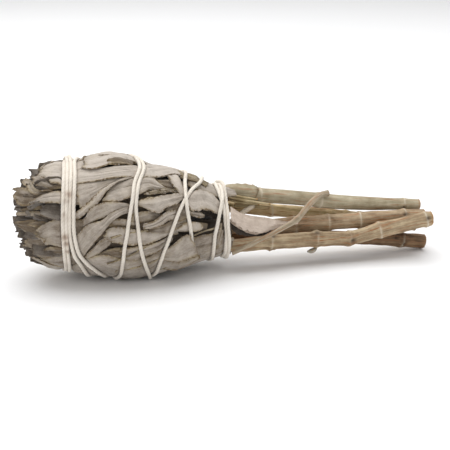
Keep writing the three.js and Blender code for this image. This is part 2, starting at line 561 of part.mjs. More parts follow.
// Slender free pieces: the thin twig that hooks over the top stem, and a stalk between two stems
const TWIG_ROWS = [[78.3, -11.2, -9.6, 0.75], [82.9, -11.6, -6.9, 0.75], [88.9, -12.2, -3.2, 0.75],
  [95.3, -12.2, 0.4, 0.75], [102.2, -10.9, 4.2, 0.8], [106.3, -7.4, 7.1, 0.85], [110.4, -3, 10, 0.9],
  [114.1, 0.8, 12.2, 0.9], [117, 4, 12.9, 0.9]];
const STALK_ROWS = [[80.6, 2.4, 5.4, 0.6], [84.7, 2.4, 5.3, 0.6], [90, 2.6, 5.1, 0.6], [94.5, 3, 4.9, 0.5]];

function slenderSolid(rows, grow) {
  const path = rows.map(([u, v, w]) => place(u, v, w));
  const outs = rows.map(() => new THREE.Vector3(0, -0.6, 0.8));
  return ringSolid(tubeRings(path, outs, (i) => roundSection(rows[i][3] + grow, 6)));
}

// The stray folded leaf in front of the stems: rows of [u, v, w] along its upper and lower edge
const STRAY_UPPER = [[75.6, -11, 8.2], [79, -11.5, 6.4], [83.2, -11.2, 5.3], [90.4, -10.4, 4.5],
  [97, -9.5, 3.4], [103, -8.6, 3.3]];
const STRAY_LOWER = [[75.6, -12.6, 3.6], [77.8, -12.5, 1.6], [82.4, -11.9, -0.4], [88.2, -10.9, -1.6],
  [95, -9.7, 0.6], [103, -8.5, 2.3]];
const STRAY_THICKNESS = 0.7;

function straySolid(grow) {
  const upper = [];
  const lower = [];
  STRAY_UPPER.forEach((top, i) => {
    const bottom = STRAY_LOWER[i];
    upper.push([]);
    lower.push([]);
    for (let j = 0; j <= 3; j++) {
      const t = mix(-grow * 0.12, 1 + grow * 0.12, j / 3);
      const fold = i === 5 ? 0 : 0.9 * Math.sin(Math.PI * j / 3);
      const [u, v, w] = top.map((value, k) => mix(value, bottom[k], t));
      const along = u + (i === 0 ? -grow : 0) + (i === 5 ? grow : 0);
      upper[i].push(place(along, v - fold - grow, w));
      lower[i].push(place(along, v - fold + STRAY_THICKNESS + grow, w));
    }
  });
  return bladeSolid(upper, lower);
}

// The bundle before the thread: all leaves fused with the core
function fuse(solids) {
  return solids.reduce((sum, solid) => sum.add(solid));
}

const count = (n, make) => Array.from({ length: n }, (_, i) => make(i));

let bundle = fuse([
  coreSolid(),
  ...BRUSH_END_LEAVES.map(([a, b, tear], i) => leafSolid({ edges: [a, b], tear, seed: i + 1 })),
  ...MIDDLE_LEAVES.map(([a, b, tear], i) => leafSolid({ edges: [a, b], tear, seed: i + 20 })),
  ...count(UNDER_LEAVES, underLeaf),
  ...count(BACK_LEAVES, backLeaf),
  ...count(BACK_TIP_LEAVES, backTipLeaf),
  ...count(BRUSH_LEAVES, brushLeaf),
  hollowStalk(),
]);

// Plain holes for the stems, room for the stray leaf, the twig and the stalk
for (const stem of Object.values(STEMS)) bundle = bundle.subtract(stemSolid(stem, CLEARANCE));
bundle = bundle.subtract(sheathSolid(CLEARANCE));
bundle = bundle.subtract(straySolid(CLEARANCE));
bundle = bundle.subtract(slenderSolid(TWIG_ROWS, CLEARANCE));
bundle = bundle.subtract(slenderSolid(STALK_ROWS, CLEARANCE));

// The flat spot under the belly
function blockSolid(low, high) {
  const ring = (x) => [[low[1], low[2]], [high[1], low[2]], [high[1], high[2]], [low[1], high[2]]]
    .map(([y, z]) => new THREE.Vector3(x, y, z));
  return ringSolid([ring(low[0]), ring(high[0])]);
}
bundle = bundle.subtract(blockSolid([-100, -40, -20], [60, 40, 0]));

// Draws short and needless edges together where the surface moves less than the tolerance
function drawTogether(points, triangles) {
  const corners = [];
  for (let i = 0; i < triangles.length; i += 3) corners.push(triangles.slice(i, i + 3));
  const around = points.map(() => new Set());
  corners.forEach((corner, t) => corner.forEach((p) => around[p].add(t)));
  const neighbours = (p) => new Set([...around[p]].flatMap((t) => corners[t]).filter((q) => q !== p));
  const normalOf = ([a, b, c]) =>
    points[b].clone().sub(points[a]).cross(points[c].clone().sub(points[a]));
  const mayMove = (gone, kept) => {
    const rim = neighbours(gone);
    if ([...neighbours(kept)].filter((p) => rim.has(p)).length !== 2) return false;
    const step = points[kept].clone().sub(points[gone]);
    return [...around[gone]].every((t) => {
      const before = normalOf(corners[t]);
      const size = before.length();
      if (size > 1e-9 && Math.abs(before.dot(step)) / size > FORM_TOLERANCE) return false;
      if (corners[t].includes(kept)) return true;
      const after = normalOf(corners[t].map((p) => (p === gone ? kept : p)));
      if (after.length() < 1e-4) return false;
      return size < 1e-3 || after.dot(before) > 0.35 * after.length() * size;
    });
  };
  for (let pass = 0; pass < 6; pass++) {
    const edges = corners.filter(Boolean).flatMap((corner) =>
      corner.map((a, k) => [a, corner[(k + 1) % 3]]));
    const lengthOf = ([a, b]) => points[a].distanceTo(points[b]);
    edges.sort((x, y) => lengthOf(x) - lengthOf(y));
    for (const [gone, kept] of edges) {
      const joined = [...around[gone]].some((t) => corners[t].includes(kept));
      if (!joined || !mayMove(gone, kept)) continue;
      for (const t of around[gone]) {
        if (corners[t].includes(kept)) {
          corners[t].filter((p) => p !== gone).forEach((p) => around[p].delete(t));
          corners[t] = null;
        } else {
          corners[t] = corners[t].map((p) => (p === gone ? kept : p));
          around[kept].add(t);
        }
      }
      around[gone] = new Set();
    }
  }
  return corners.filter(Boolean).flat();
}

// The outer shell of a fused solid. Sealed hollows are filled and loose scraps dropped.
function outerShell(solid) {
  const mesh = solid.getMesh();
  const triangles = mesh.triVerts;
  const stride = mesh.numProp;
  const points = Array.from({ length: mesh.vertProperties.length / stride }, (_, i) =>
    new THREE.Vector3(...mesh.vertProperties.slice(i * stride, i * stride + 3)));
  const parent = Array.from({ length: triangles.length / 3 }, (_, i) => i);
  const find = (i) => {
    while (parent[i] !== i) {
      parent[i] = parent[parent[i]];
      i = parent[i];
    }
    return i;
  };
  const edgeOwner = new Map();
  parent.forEach((_, t) => [0, 1, 2].forEach((k) => {
    const ends = [triangles[3 * t + k], triangles[3 * t + (k + 1) % 3]];
    const key = Math.min(...ends) * points.length + Math.max(...ends);
    if (edgeOwner.has(key)) parent[find(t)] = find(edgeOwner.get(key));
    else edgeOwner.set(key, t);
  }));
  const shells = new Map();
  parent.forEach((_, t) => {
    const key = find(t);
    if (!shells.has(key)) shells.set(key, []);
    shells.get(key).push(...triangles.slice(3 * t, 3 * t + 3));
  });
  const largest = [...shells.values()]
    .sort((a, b) => signedVolume(points, b) - signedVolume(points, a))[0];
  return solidFrom(points, drawTogether(points, largest));
}

function geometryOf(solid) {
  const mesh = solid.getMesh();
  const stride = mesh.numProp;
  const positions = new Float32Array(mesh.vertProperties.length / stride * 3);
  for (let i = 0; i < positions.length / 3; i++) {
    positions.set(mesh.vertProperties.subarray(i * stride, i * stride + 3), i * 3);
  }
  const geometry = new THREE.BufferGeometry();
  geometry.setAttribute('position', new THREE.BufferAttribute(positions, 3));
  geometry.setIndex(new THREE.BufferAttribute(new Uint32Array(mesh.triVerts), 1));
  geometry.computeVertexNormals();
  return geometry;
}

bundle = outerShell(bundle);

// The thread. Keys are [phi, u]: phi falls all the way as the strand winds to the tips and back.
const THREAD_KEYS = [
  [196, 73.6], [80, 71.5], [50, 72.2], [38, 72.7], [32, 73], [13, 73.8], [-2, 74.6], [-20, 75], [-45, 76],
  [-62, 76.4], [-90, 76.2], [-180, 75], [-280, 73.2], [-310, 72.4], [-322, 71.9], [-329, 71.2],
  [-347, 70.7], [-363, 69.7], [-395, 70.8], [-422, 72], [-450, 71.4], [-540, 69], [-620, 67],
  [-648, 64.8], [-662, 61.3],
  [-678, 58.3], [-689, 56], [-704, 54], [-716, 52.8], [-731, 51.4], [-749, 50.3], [-775, 50.2], [-810, 46],
  [-900, 31], [-985, 14.1], [-1028, 13], [-1048, 12.8], [-1074, 13.3], [-1083, 13.7], [-1102, 14.5],
  [-1126, 16.1], [-1156, 18], [-1180, 18.2], [-1260, 15.6], [-1345, 15.6], [-1388, 14.5], [-1408, 14.3],
  [-1434, 14.8], [-1443, 15.2], [-1462, 16], [-1486, 17.6], [-1516, 19.5], [-1540, 19.7], [-1620, 17.2],
  [-1705, 17.1], [-1748, 16], [-1768, 15.8], [-1794, 16.3], [-1803, 16.7], [-1822, 17.8], [-1836, 20.2],
  [-1854, 24.2], [-1874, 27.5], [-1890, 29.5], [-1980, 38], [-2084, 41.6], [-2100, 40.6], [-2111, 38.3],
  [-2130, 37.6], [-2145, 36.7], [-2160, 36.3], [-2177, 36], [-2218, 37.3], [-2250, 35], [-2340, 27],
  [-2425, 18.6], [-2468, 17.5], [-2488, 17.3], [-2514, 17.8], [-2523, 18.2], [-2542, 19.6], [-2556, 22.4],
  [-2574, 27], [-2592, 32.2], [-2610, 35], [-2700, 41], [-2804, 43.2],
  [-2820, 42], [-2831, 39.9], [-2848, 38.9], [-2857, 38.6], [-2870, 39.8], [-2880, 40.3], [-2894, 41.8],
  [-2910, 44.2], [-2932, 47.5], [-2970, 52], [-3060, 58.6], [-3153, 59.8], [-3177, 58], [-3204, 57.2],
  [-3214, 58], [-3229, 59.2], [-3240, 60.3], [-3270, 62.5], [-3330, 68], [-3420, 73], [-3512, 75.4],
  [-3560, 74.6], [-3590, 74.6], [-3640, 77.2], [-3690, 77.6], [-3764, 75.2]];

const raycaster = new THREE.Raycaster();
const target = (solid) =>
  new THREE.Mesh(geometryOf(solid), new THREE.MeshBasicMaterial({ side: THREE.DoubleSide }));
const leafTargets = [target(bundle)];
const bareStems = Object.values(STEMS).map((stem) => stemSolid(stem, 0));
const hardTargets = [straySolid(0), slenderSolid(TWIG_ROWS, 0), sheathSolid(0), ...bareStems].map(target);

// The radius at which the strand meets a surface, over its own width
function surfaceRho(targets, u, phi) {
  return Math.max(...[-1, -0.5, 0, 0.5, 1].map((side) => {
    const at = u + side * THREAD_RADIUS * 1.1;
    const from = placeRound(at, phi, 40);
    raycaster.set(from, placeRound(at, phi, 0).sub(from).normalize());
    const hits = raycaster.intersectObjects(targets, false);
    return hits.length ? 40 - hits[0].distance : 0;
  }));
}

function restRho(u, phi) {
  const pressed = surfaceRho(leafTargets, u, phi) - THREAD_BITE;
  return Math.max(pressed, surfaceRho(hardTargets, u, phi)) + THREAD_RADIUS + CLEARANCE;
}

// The greatest radius that keeps the strand clear of the surface that the bundle lies on
function lowestRho(u, phi) {
  const axis = placeRound(u, phi, 0);
  const fall = axis.z - placeRound(u, phi, 1).z;
  return fall > 0.05 ? (axis.z - THREAD_LOWEST_Z) / fall : 99;
}

function threadSamples() {
  const phis = [];
  const first = THREAD_KEYS[0][0];
  const last = THREAD_KEYS[THREAD_KEYS.length - 1][0];
  for (let phi = first; phi >= last; phi -= THREAD_SAMPLE_DEG) phis.push(phi);
  const falling = THREAD_KEYS.map(([phi]) => -phi);
  const stations = THREAD_KEYS.map(([, u]) => u);
  let us = phis.map((phi) => interpolate(-phi, falling, stations));
  for (let pass = 0; pass < 2; pass++) {
    us = us.map((u, i) => (us[Math.max(i - 1, 0)] + 2 * u + us[Math.min(i + 1, us.length - 1)]) / 4);
  }
  const bare = phis.map((phi, i) => restRho(us[i], phi));
  const caps = phis.map((phi, i) => lowestRho(us[i], phi));
  const perTurn = 360 / THREAD_SAMPLE_DEG;
  const shrink = Math.cos(THREAD_SAMPLE_DEG * Math.PI / 180);
  let rhos = [...bare];
  for (let pass = 0; pass < 90; pass++) {
    rhos = rhos.map((rho, i) => {
      const before = rhos[Math.max(i - 1, 0)];
      const after = rhos[Math.min(i + 1, rhos.length - 1)];
      let low = Math.max(bare[i], (before + after) / 2 * shrink);
      for (let j = i - perTurn; j >= 0; j -= perTurn) {
        const gap = Math.abs(us[i] - us[j]);
        if (gap < THREAD_SPACING) low = Math.max(low, rhos[j] + Math.sqrt(THREAD_SPACING ** 2 - gap ** 2));
      }
      return Math.min(low, Math.max(caps[i], 0));
    });
  }
  return phis.map((phi, i) => ({ phi, u: us[i], rho: rhos[i] }));
}

const samples = threadSamples();
const coarse = samples.filter((_, i) => i % THREAD_STEP_SAMPLES === 0);
const chordLift = 1 / Math.cos(THREAD_STEP_SAMPLES * THREAD_SAMPLE_DEG / 2 * Math.PI / 180);
const threadPath = coarse.map(({ u, phi, rho }) =>
  placeRound(u, phi, Math.min(rho * chordLift, lowestRho(u, phi))));
const threadOuts = coarse.map(({ u, phi }) => placeRound(u, phi, 1).sub(placeRound(u, phi, 0)));

const windings = ringSolid(tubeRings(threadPath, threadOuts, () =>
  roundSection(THREAD_RADIUS, THREAD_SIDES, Math.PI / 6)));

// The groove that the taut strand presses into the leaves, open outwards
const groove = ringSolid(tubeRings(threadPath, threadOuts, () => {
  const half = THREAD_RADIUS + CLEARANCE;
  return [[half, GROOVE_DEPTH], [-half, GROOVE_DEPTH], [-half, -half * 0.5], [-half * 0.5, -half],
    [half * 0.5, -half], [half, -half * 0.5]];
}));
bundle = outerShell(bundle.subtract(groove));

// The knot and the two tails at the back of the right band
function knotSolid() {
  const centre = coarse[0];
  const rings = [-2.1, -1.2, 0, 1.2, 2.1].map((along, i) => {
    const radius = [0.5, 1.5, 1.9, 1.5, 0.5][i];
    const turn = along / 14 * 180 / Math.PI;
    const middle = placeRound(centre.u + 0.6, centre.phi + turn, centre.rho + 0.9);
    const out = placeRound(0, centre.phi + turn, 1).sub(placeRound(0, centre.phi + turn, 0));
    const across = placeRound(1, 0, 0).sub(placeRound(0, 0, 0));
    return roundSection(radius, 8).map(([a, b]) =>
      middle.clone().addScaledVector(across, a).addScaledVector(out, b * 0.7));
  });
  return ringSolid(rings);
}

function tailSolid(turn, reach) {
  const { u, phi, rho } = coarse[0];
  const points = [0, 0.25, 0.5, 0.75, 1].map((t) => {
    const at = { u: u + 0.8 + reach * t, phi: phi + turn * t };
    const free = surfaceRho([...leafTargets, ...hardTargets], at.u, at.phi) + THREAD_RADIUS + CLEARANCE;
    return placeRound(at.u, at.phi, Math.max(mix(rho + 0.9, rho, t), free));
  });
  const outs = points.map(() => placeRound(0, phi, 1).sub(placeRound(0, phi, 0)));
  return ringSolid(tubeRings(points, outs, () => roundSection(THREAD_RADIUS * 0.9, THREAD_SIDES)));
}

const thread = outerShell(fuse([windings, knotSolid(), tailSolid(-34, 5), tailSolid(30, 6.5)]));

// The named pieces
const part = new THREE.Group();

function addPiece(name, solid, colour, roughness) {
  const material = new THREE.MeshStandardMaterial({ color: colour, roughness });
  const mesh = new THREE.Mesh(geometryOf(solid), material);
  mesh.name = name;
  part.add(mesh);
}

addPiece('leaf_bundle', bundle, 0xa39c90, 0.9);
addPiece('thread', thread, 0xe0d6c8, 0.85);
const onStem = { stem_a: sheathSolid(0), stem_b: stubTwig() };
for (const [name, stem] of Object.entries(STEMS)) {
  const solid = stemSolid(stem, 0);
  addPiece(name, onStem[name] ? solid.add(onStem[name]) : solid, stem.colour, 0.75);
}
addPiece('thin_twig', slenderSolid(TWIG_ROWS, 0), 0x9a8a70, 0.8);
addPiece('thin_stalk', slenderSolid(STALK_ROWS, 0), 0xa8946c, 0.8);
addPiece('stray_leaf', straySolid(0), 0xb3a698, 0.9);

export default part;
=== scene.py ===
import math
import bmesh
import bpy
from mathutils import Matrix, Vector, noise
from mathutils.bvhtree import BVHTree


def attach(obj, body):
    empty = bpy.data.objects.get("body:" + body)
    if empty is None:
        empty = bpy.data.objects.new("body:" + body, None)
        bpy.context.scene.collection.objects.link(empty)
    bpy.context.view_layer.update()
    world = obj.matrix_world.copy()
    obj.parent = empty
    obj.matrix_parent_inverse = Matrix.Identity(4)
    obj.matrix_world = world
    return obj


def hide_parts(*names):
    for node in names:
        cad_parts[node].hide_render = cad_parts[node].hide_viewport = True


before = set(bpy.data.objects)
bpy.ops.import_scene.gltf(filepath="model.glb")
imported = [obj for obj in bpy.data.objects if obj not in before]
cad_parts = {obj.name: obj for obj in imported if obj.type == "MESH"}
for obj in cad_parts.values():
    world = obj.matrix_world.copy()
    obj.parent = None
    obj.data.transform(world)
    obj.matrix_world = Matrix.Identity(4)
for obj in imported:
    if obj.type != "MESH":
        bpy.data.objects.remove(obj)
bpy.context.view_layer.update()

# The camera stands low in front of the bundle and a little towards the leaf tips.
# Its lens is long, so that the leaves and the stems keep their true proportions.
CAMERA_AZIMUTH = math.radians(-13)
CAMERA_ELEVATION = math.radians(17)
CAMERA_DISTANCE = 0.430
CAMERA_LENS_MM = 91.2
CAMERA_FILM_MM = 36
CAMERA_LOOKS_AT = Vector((-0.0018, 0.0001, 0.0160))

backwards = Vector((math.sin(CAMERA_AZIMUTH) * math.cos(CAMERA_ELEVATION),
                    -math.cos(CAMERA_AZIMUTH) * math.cos(CAMERA_ELEVATION),
                    math.sin(CAMERA_ELEVATION)))
camera_data = bpy.data.cameras.new("camera")
camera_data.lens = CAMERA_LENS_MM
camera_data.sensor_width = CAMERA_FILM_MM
camera_data.clip_start = 0.01
camera = bpy.data.objects.new("camera", camera_data)
camera.location = CAMERA_LOOKS_AT + backwards * CAMERA_DISTANCE
camera.rotation_euler = backwards.to_track_quat("Z", "Y").to_euler()
bpy.context.scene.collection.objects.link(camera)
bpy.context.scene.camera = camera

# The sheet of plain white paper that the bundle lies on, larger than the view.
# A wide soft light hangs over it, and a weaker one stands in front.
PAPER_HALF_SIDE = 3.0
STUDIO_GLOW = 0.53
bpy.context.scene.view_settings.view_transform = "Standard"


def node(tree, kind, values=None, **settings):
    """Adds a shader node. Values are given by socket name or number, as numbers or as sockets to link."""
    made = tree.nodes.new(kind)
    for name, value in settings.items():
        setattr(made, name, value)
    for name, value in (values or {}).items():
        if isinstance(value, bpy.types.NodeSocket):
            tree.links.new(value, made.inputs[name])
        else:
            made.inputs[name].default_value = value
    return made


def blend_colours(tree, factor, a, b):
    return node(tree, "ShaderNodeMix", {0: factor, 6: a, 7: b}, data_type="RGBA").outputs[2]


def noise_at(tree, place, scale, detail=3.0, roughness=0.55, distortion=0.0):
    made = node(tree, "ShaderNodeTexNoise", {
        "Vector": place, "Scale": scale, "Detail": detail, "Roughness": roughness, "Distortion": distortion})
    return made.outputs["Fac"]


def on_object(tree):
    return node(tree, "ShaderNodeTexCoord").outputs["Object"]


def new_material(name, roughness, specular):
    material = bpy.data.materials.new(name)
    material.use_nodes = True
    surface = material.node_tree.nodes["Principled BSDF"]
    surface.inputs["Roughness"].default_value = roughness
    surface.inputs["Specular IOR Level"].default_value = specular
    return material, material.node_tree, surface


def paper_material():
    material, tree, surface = new_material("white_paper", 0.95, 0.1)
    speckle = noise_at(tree, on_object(tree), 900.0)
    colour = blend_colours(tree, speckle, (0.90, 0.90, 0.905, 1), (0.93, 0.93, 0.935, 1))
    tree.links.new(colour, surface.inputs["Base Color"])
    return material


floor_bm = bmesh.new()
bmesh.ops.create_grid(floor_bm, x_segments=2, y_segments=2, size=PAPER_HALF_SIDE)
floor_mesh = bpy.data.meshes.new("paper_floor")
floor_bm.to_mesh(floor_mesh)
floor_bm.free()
floor = bpy.data.objects.new("paper_floor", floor_mesh)
bpy.context.scene.collection.objects.link(floor)
floor_mesh.materials.append(paper_material())


def soft_light(name, place, size, power):
    data = bpy.data.lights.new(name, "AREA")
    data.shape = "DISK"
    data.size = size
    data.energy = power
    made = bpy.data.objects.new(name, data)
    made.location = place
    made.rotation_euler = Vector(place).to_track_quat("Z", "Y").to_euler()
    bpy.context.scene.collection.objects.link(made)


soft_light("light_above", (-0.10, 0.22, 0.85), 1.3, 9.6)
soft_light("light_front", (-0.4, -0.9, 0.8), 0.8, 1.5)
world = bpy.data.worlds.new("studio")
world.use_nodes = True
world.node_tree.nodes["Background"].inputs["Color"].default_value = (1, 1, 1, 1)
world.node_tree.nodes["Background"].inputs["Strength"].default_value = STUDIO_GLOW
bpy.context.scene.world = world

# The inner leaves of the head: older dry leaves pressed into a dense mass round the five stems, coloured near
# black as painted shade.
# They are tied too tightly to open, so only their uneven outside shows in the gaps.
# The stick leans by PITCH, and OUTLINE is its radius along it. Sizes are millimetres and degrees.
PITCH = math.radians(7)
AXIS_HEIGHT = 22.7
BELLY_U = 39
ORIGIN_U = 78.5
ORIGIN_Y = 0.1
OUTLINE = ([-4, 0, 6, 12, 20, 29, 37, 44, 52, 60, 68, 76, 86],
           [9.5, 12.5, 16.5, 19, 20.2, 22.2, 23, 22.4, 20.6, 18.2, 15.4, 13.8, 12.3])
SAG = ([34, 44, 52, 72, 84], [0, 0.6, 0.9, 0.6, 0])
TOP_DROP = ([0, 6, 15, 24, 32, 41, 46, 51, 57, 63, 67, 72, 78],
            [0.9, 1.6, 2, 1.2, 0.6, 1.3, 2.0, 1.5, 0.5, 0.6, 0.9, 0.5, 0])
UNDERSIDE_DROP = ([0, 8, 15, 22, 30, 35], [0.8, 1.4, 2, 1.4, 0.3, 0])


def mix(a, b, t):
    return a + (b - a) * t


def between(x, table):
    """The value at x of a table of stations and values."""
    stations, values = table
    if x <= stations[0]:
        return values[0]
    for i in range(1, len(stations)):
        if x <= stations[i]:
            return mix(values[i - 1], values[i], (x - stations[i - 1]) / (stations[i] - stations[i - 1]))
    return values[-1]


def outline(u):
    return between(u, OUTLINE)


def place(u, v, w):
    """A point of the stick in metres: u along it from the leaf tips, v to the back and w up, in mm."""
    along = u - BELLY_U
    return Vector((along * math.cos(PITCH) + w * math.sin(PITCH) + BELLY_U - ORIGIN_U,
                   v + ORIGIN_Y,
                   AXIS_HEIGHT - along * math.sin(PITCH) + w * math.cos(PITCH))) * 0.001


def sag_at(u, phi):
    rise = math.sin(math.radians(phi))
    drop = between(u, TOP_DROP if rise > 0 else UNDERSIDE_DROP)
    return between(u, SAG) + drop * rise ** 4


def place_round(u, phi, rho):
    """A point at the turn phi round the stick, in degrees: 0 front, 90 top, 180 back."""
    angle = math.radians(phi)
    return place(u, -rho * math.cos(angle), rho * math.sin(angle) - sag_at(u, phi))


def draw(i, k):
    """A repeatable draw between 0 and 1 for leaf i, use k."""
    x = math.sin(i * 12.9898 + k * 78.233) * 43758.5453
    return x - math.floor(x)


def spread(i, k, low, high):
    return mix(low, high, draw(i, k))


def wander(x, y, seed):
    """A smooth wander between about -1 and 1."""
    return noise.noise(Vector((x, y, seed * 7.31)))


def calculate(tree, operation, a, b, clamp=False):
    return node(tree, "ShaderNodeMath", {0: a, 1: b}, operation=operation, use_clamp=clamp).outputs[0]


def times(tree, a, b, clamp=False):
    return calculate(tree, "MULTIPLY", a, b, clamp)


def past(tree, value, start, gain, clamp=True):
    """How far a value is past a start, times a gain."""
    return times(tree, calculate(tree, "SUBTRACT", value, start, clamp=True), gain, clamp)


def carried(tree, name, output="Fac"):
    """A value that the vertices of a piece carry."""
    return node(tree, "ShaderNodeAttribute", attribute_name=name).outputs[output]


def mottled(tree, amount, parts):
    """An amount from 0 to 1 that each noise of the parts raises or lowers by its strength."""
    for part, strength in parts:
        change = times(tree, calculate(tree, "SUBTRACT", part, 0.5), strength)
        amount = calculate(tree, "ADD", change, amount)
    return calculate(tree, "MINIMUM", calculate(tree, "MAXIMUM", amount, 0.0), 1.0)


def colour_and_bump(tree, surface, colour, height, strength, depth):
    tree.links.new(colour, surface.inputs["Base Color"])
    bump = node(tree, "ShaderNodeBump", {"Strength": strength, "Distance": depth, "Height": height})
    tree.links.new(bump.outputs["Normal"], surface.inputs["Normal"])


def dried_leaf_material(name, pale, dark, rim, rim_strength=1.0, warm=(0.37, 0.295, 0.175, 1)):
    """Felted dried leaf. Each leaf has its tone, and parts of it are yellowed or browned at the margin."""
    material, tree, surface = new_material(name, 0.93, 0.2)
    spot, grain, margin = on_object(tree), carried(tree, "grain", "Vector"), carried(tree, "margin")
    blotches = noise_at(tree, spot, 260.0, 4.0)
    streaks = noise_at(tree, grain, 2.2, 3.0, 0.6)
    felt = noise_at(tree, spot, 4200.0, 2.0, 0.7)
    wrinkles = noise_at(tree, spot, 1100.0, 4.0, 0.6, 0.6)
    patches = noise_at(tree, spot, 140.0, 3.0, 0.6)
    amount = mottled(tree, carried(tree, "tone"), ((blotches, 1.5), (streaks, 0.8), (felt, 0.6)))
    colour = blend_colours(tree, amount, dark, pale)
    yellowed = past(tree, patches, 0.52, 3.0)
    colour = blend_colours(tree, times(tree, yellowed, 0.4), colour, warm)
    golden = times(tree, past(tree, blotches, 0.44, 5.5), calculate(tree, "POWER", margin, 1.5), clamp=True)
    colour = blend_colours(tree, golden, colour, warm)
    torn = past(tree, wrinkles, 0.42, 8.0 * rim_strength, clamp=False)
    torn = times(tree, torn, calculate(tree, "ADD", yellowed, 0.8))
    torn = times(tree, torn, calculate(tree, "POWER", margin, 4.0), clamp=True)
    colour = blend_colours(tree, torn, colour, rim)
    height = calculate(tree, "ADD", times(tree, streaks, 0.6), wrinkles)
    height = calculate(tree, "ADD", height, times(tree, felt, 0.3))
    colour_and_bump(tree, surface, colour, height, 0.9, 0.0004)
    surface.inputs["Sheen Weight"].default_value = 0.25
    surface.inputs["Sheen Roughness"].default_value = 0.6
    return material


# Near-black leaf colours for the core and the hollows: painted shade.
INNER_SHADE_MATERIAL = dried_leaf_material("inner_leaf_painted_shade", (0.11, 0.08, 0.055, 1), (0.015, 0.01, 0.007, 1),
                                     (0.03, 0.02, 0.012, 1), warm=(0.10, 0.07, 0.045, 1))


def new_leaves():
    """An empty mesh with the layers that the leaves carry."""
    bm = bmesh.new()
    layers = {
        "tone": bm.verts.layers.float.new("tone"),
        "margin": bm.verts.layers.float.new("margin"),
        "grain": bm.verts.layers.float_vector.new("grain"),
        "station": bm.verts.layers.float_vector.new("station"),
    }
    return bm, layers


def finish_piece(bm, name, material, nodes, thickness=0.0, sharp=55):
    """Gives open sheets their thickness, and makes the mesh a piece of the bundle."""
    if thickness:
        bm.normal_update()
        made = bmesh.ops.extrude_face_region(bm, geom=list(bm.faces), use_keep_orig=True)["geom"]
        for vert in (item for item in made if isinstance(item, bmesh.types.BMVert)):
            vert.co -= vert.normal * thickness
        bmesh.ops.recalc_face_normals(bm, faces=bm.faces)
    mesh = bpy.data.meshes.new(name)
    bm.to_mesh(mesh)
    bm.free()
    mesh.shade_smooth()
    mesh.set_sharp_from_angle(angle=math.radians(sharp))
    made = bpy.data.objects.new(name, mesh)
    bpy.context.scene.collection.objects.link(made)
    mesh.materials.append(material)
    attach(made, "root")
    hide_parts(*nodes)
    return made


def face_outwards(bm, verts, outward):
    """Turns the faces of an open sheet so that their sum points along outward."""
    faces = list({face for vert in verts for face in vert.link_faces})
    total = Vector()
    for face in faces:
        face.normal_update()
        total += face.normal * face.calc_area()
    if total.dot(outward) < 0:
        bmesh.ops.reverse_faces(bm, faces=faces)


HOLLOWS = ((65.5, 11, 5.0, 13, 6.0), (57, 3, 3.0, 7, 4.0), (53.5, 19, 2.0, 3.5, 1.6))


def hollow_depth(u, phi):
    """How much deeper the head is torn open in its black hollows by the right band."""
    depth = 0
    for middle_u, middle_phi, half_u, half_phi, deep in HOLLOWS:
        span = ((u - middle_u) / half_u) ** 2 + ((phi - middle_phi) / half_phi) ** 2
        if span < 1:
            depth = max(depth, deep * (1 - span) ** 0.6)
    return depth


CORE_START_U = 11
CORE_END_U = 75
CORE_INSET = 3.1
CREASE_DEPTH = 2.2

core_bm, core_layers = new_leaves()
core_grid = bmesh.ops.create_grid(core_bm, x_segments=90, y_segments=110, size=1)
for vert in core_grid["verts"]:
    along, turn = (vert.co.x + 1) / 2, 180 * vert.co.y
    u = mix(CORE_START_U, CORE_END_U, along)
    crease = abs(wander(math.cos(math.radians(turn)) * 5 + along * 3, math.sin(math.radians(turn)) * 5, 3))
    rho = outline(u) - CORE_INSET - CREASE_DEPTH * crease - hollow_depth(u, turn)
    if vert.co.x > 0.999 or vert.co.x < -0.999:
        rho = 0.001
    vert.co = place_round(u, turn, rho)
    # Painted shade: the core is darker still in the hollows.
    vert[core_layers["tone"]] = 0.2 - 0.2 * hollow_depth(u, turn)
    vert[core_layers["grain"]] = Vector((turn * 0.3, u * 0.15, 1))
    vert[core_layers["station"]] = Vector((u, turn, rho))
bmesh.ops.remove_doubles(core_bm, verts=core_bm.verts, dist=0.00002)
bmesh.ops.recalc_face_normals(core_bm, faces=core_bm.faces)
leaf_core = finish_piece(core_bm, "leaf_core", INNER_SHADE_MATERIAL, ["leaf_bundle"])

# The leaves that show from the front: dried felted sage, folded lengthwise and torn where they stick out.
# They lie over one another from the neck to the tips, and only the thread holds them.
# Each row holds the two edges of a leaf from root to tip, as u, phi and height over the outline.
# A low tone on a leaf that lies deep among the others is painted shade.
LEAF_THICKNESS = 0.0005
MARGIN_WIDTH = 1.9
END_MARGIN = 2.2
TORN_FROM = 0.75
RIB_DEPTH = 0.32
RIB_WIDTH = 0.45
PLEAT_PITCH = 1.9
LIP_WIDTH = 1.5
LEAF_MATERIAL = dried_leaf_material("felted_leaf", (0.535, 0.472, 0.405, 1), (0.15, 0.11, 0.07, 1),
                                    (0.17, 0.115, 0.055, 1), 1.5)


def curve_between(b, c, slope_in, slope_out, s):
    """The point at share s of a smooth curve from b to c with the given slopes."""
    bend = (3 * (c - b) - 2 * slope_in - slope_out) * s * s
    return b + slope_in * s + bend + (2 * (b - c) + slope_in + slope_out) * s ** 3


def on_curve(points, at):
    """A point of a smooth curve through the given points, at a point's number and a share past it."""
    i = min(int(at), len(points) - 2)
    b, c = Vector(points[i]), Vector(points[i + 1])
    a = Vector(points[i - 1]) if i > 0 else 2 * b - c
    d = Vector(points[i + 2]) if i + 2 < len(points) else 2 * c - b
    return curve_between(b, c, (c - a) * 0.5, (d - b) * 0.5, at - i)


def along_edge(edge, t):
    return on_curve(edge, t * (len(edge) - 1))


def edge_length(edge):
    total = 0
    for (u1, phi1, _), (u2, phi2, _) in zip(edge, edge[1:]):
        total += math.hypot(u2 - u1, math.radians(phi2 - phi1) * outline(u1))
    return total


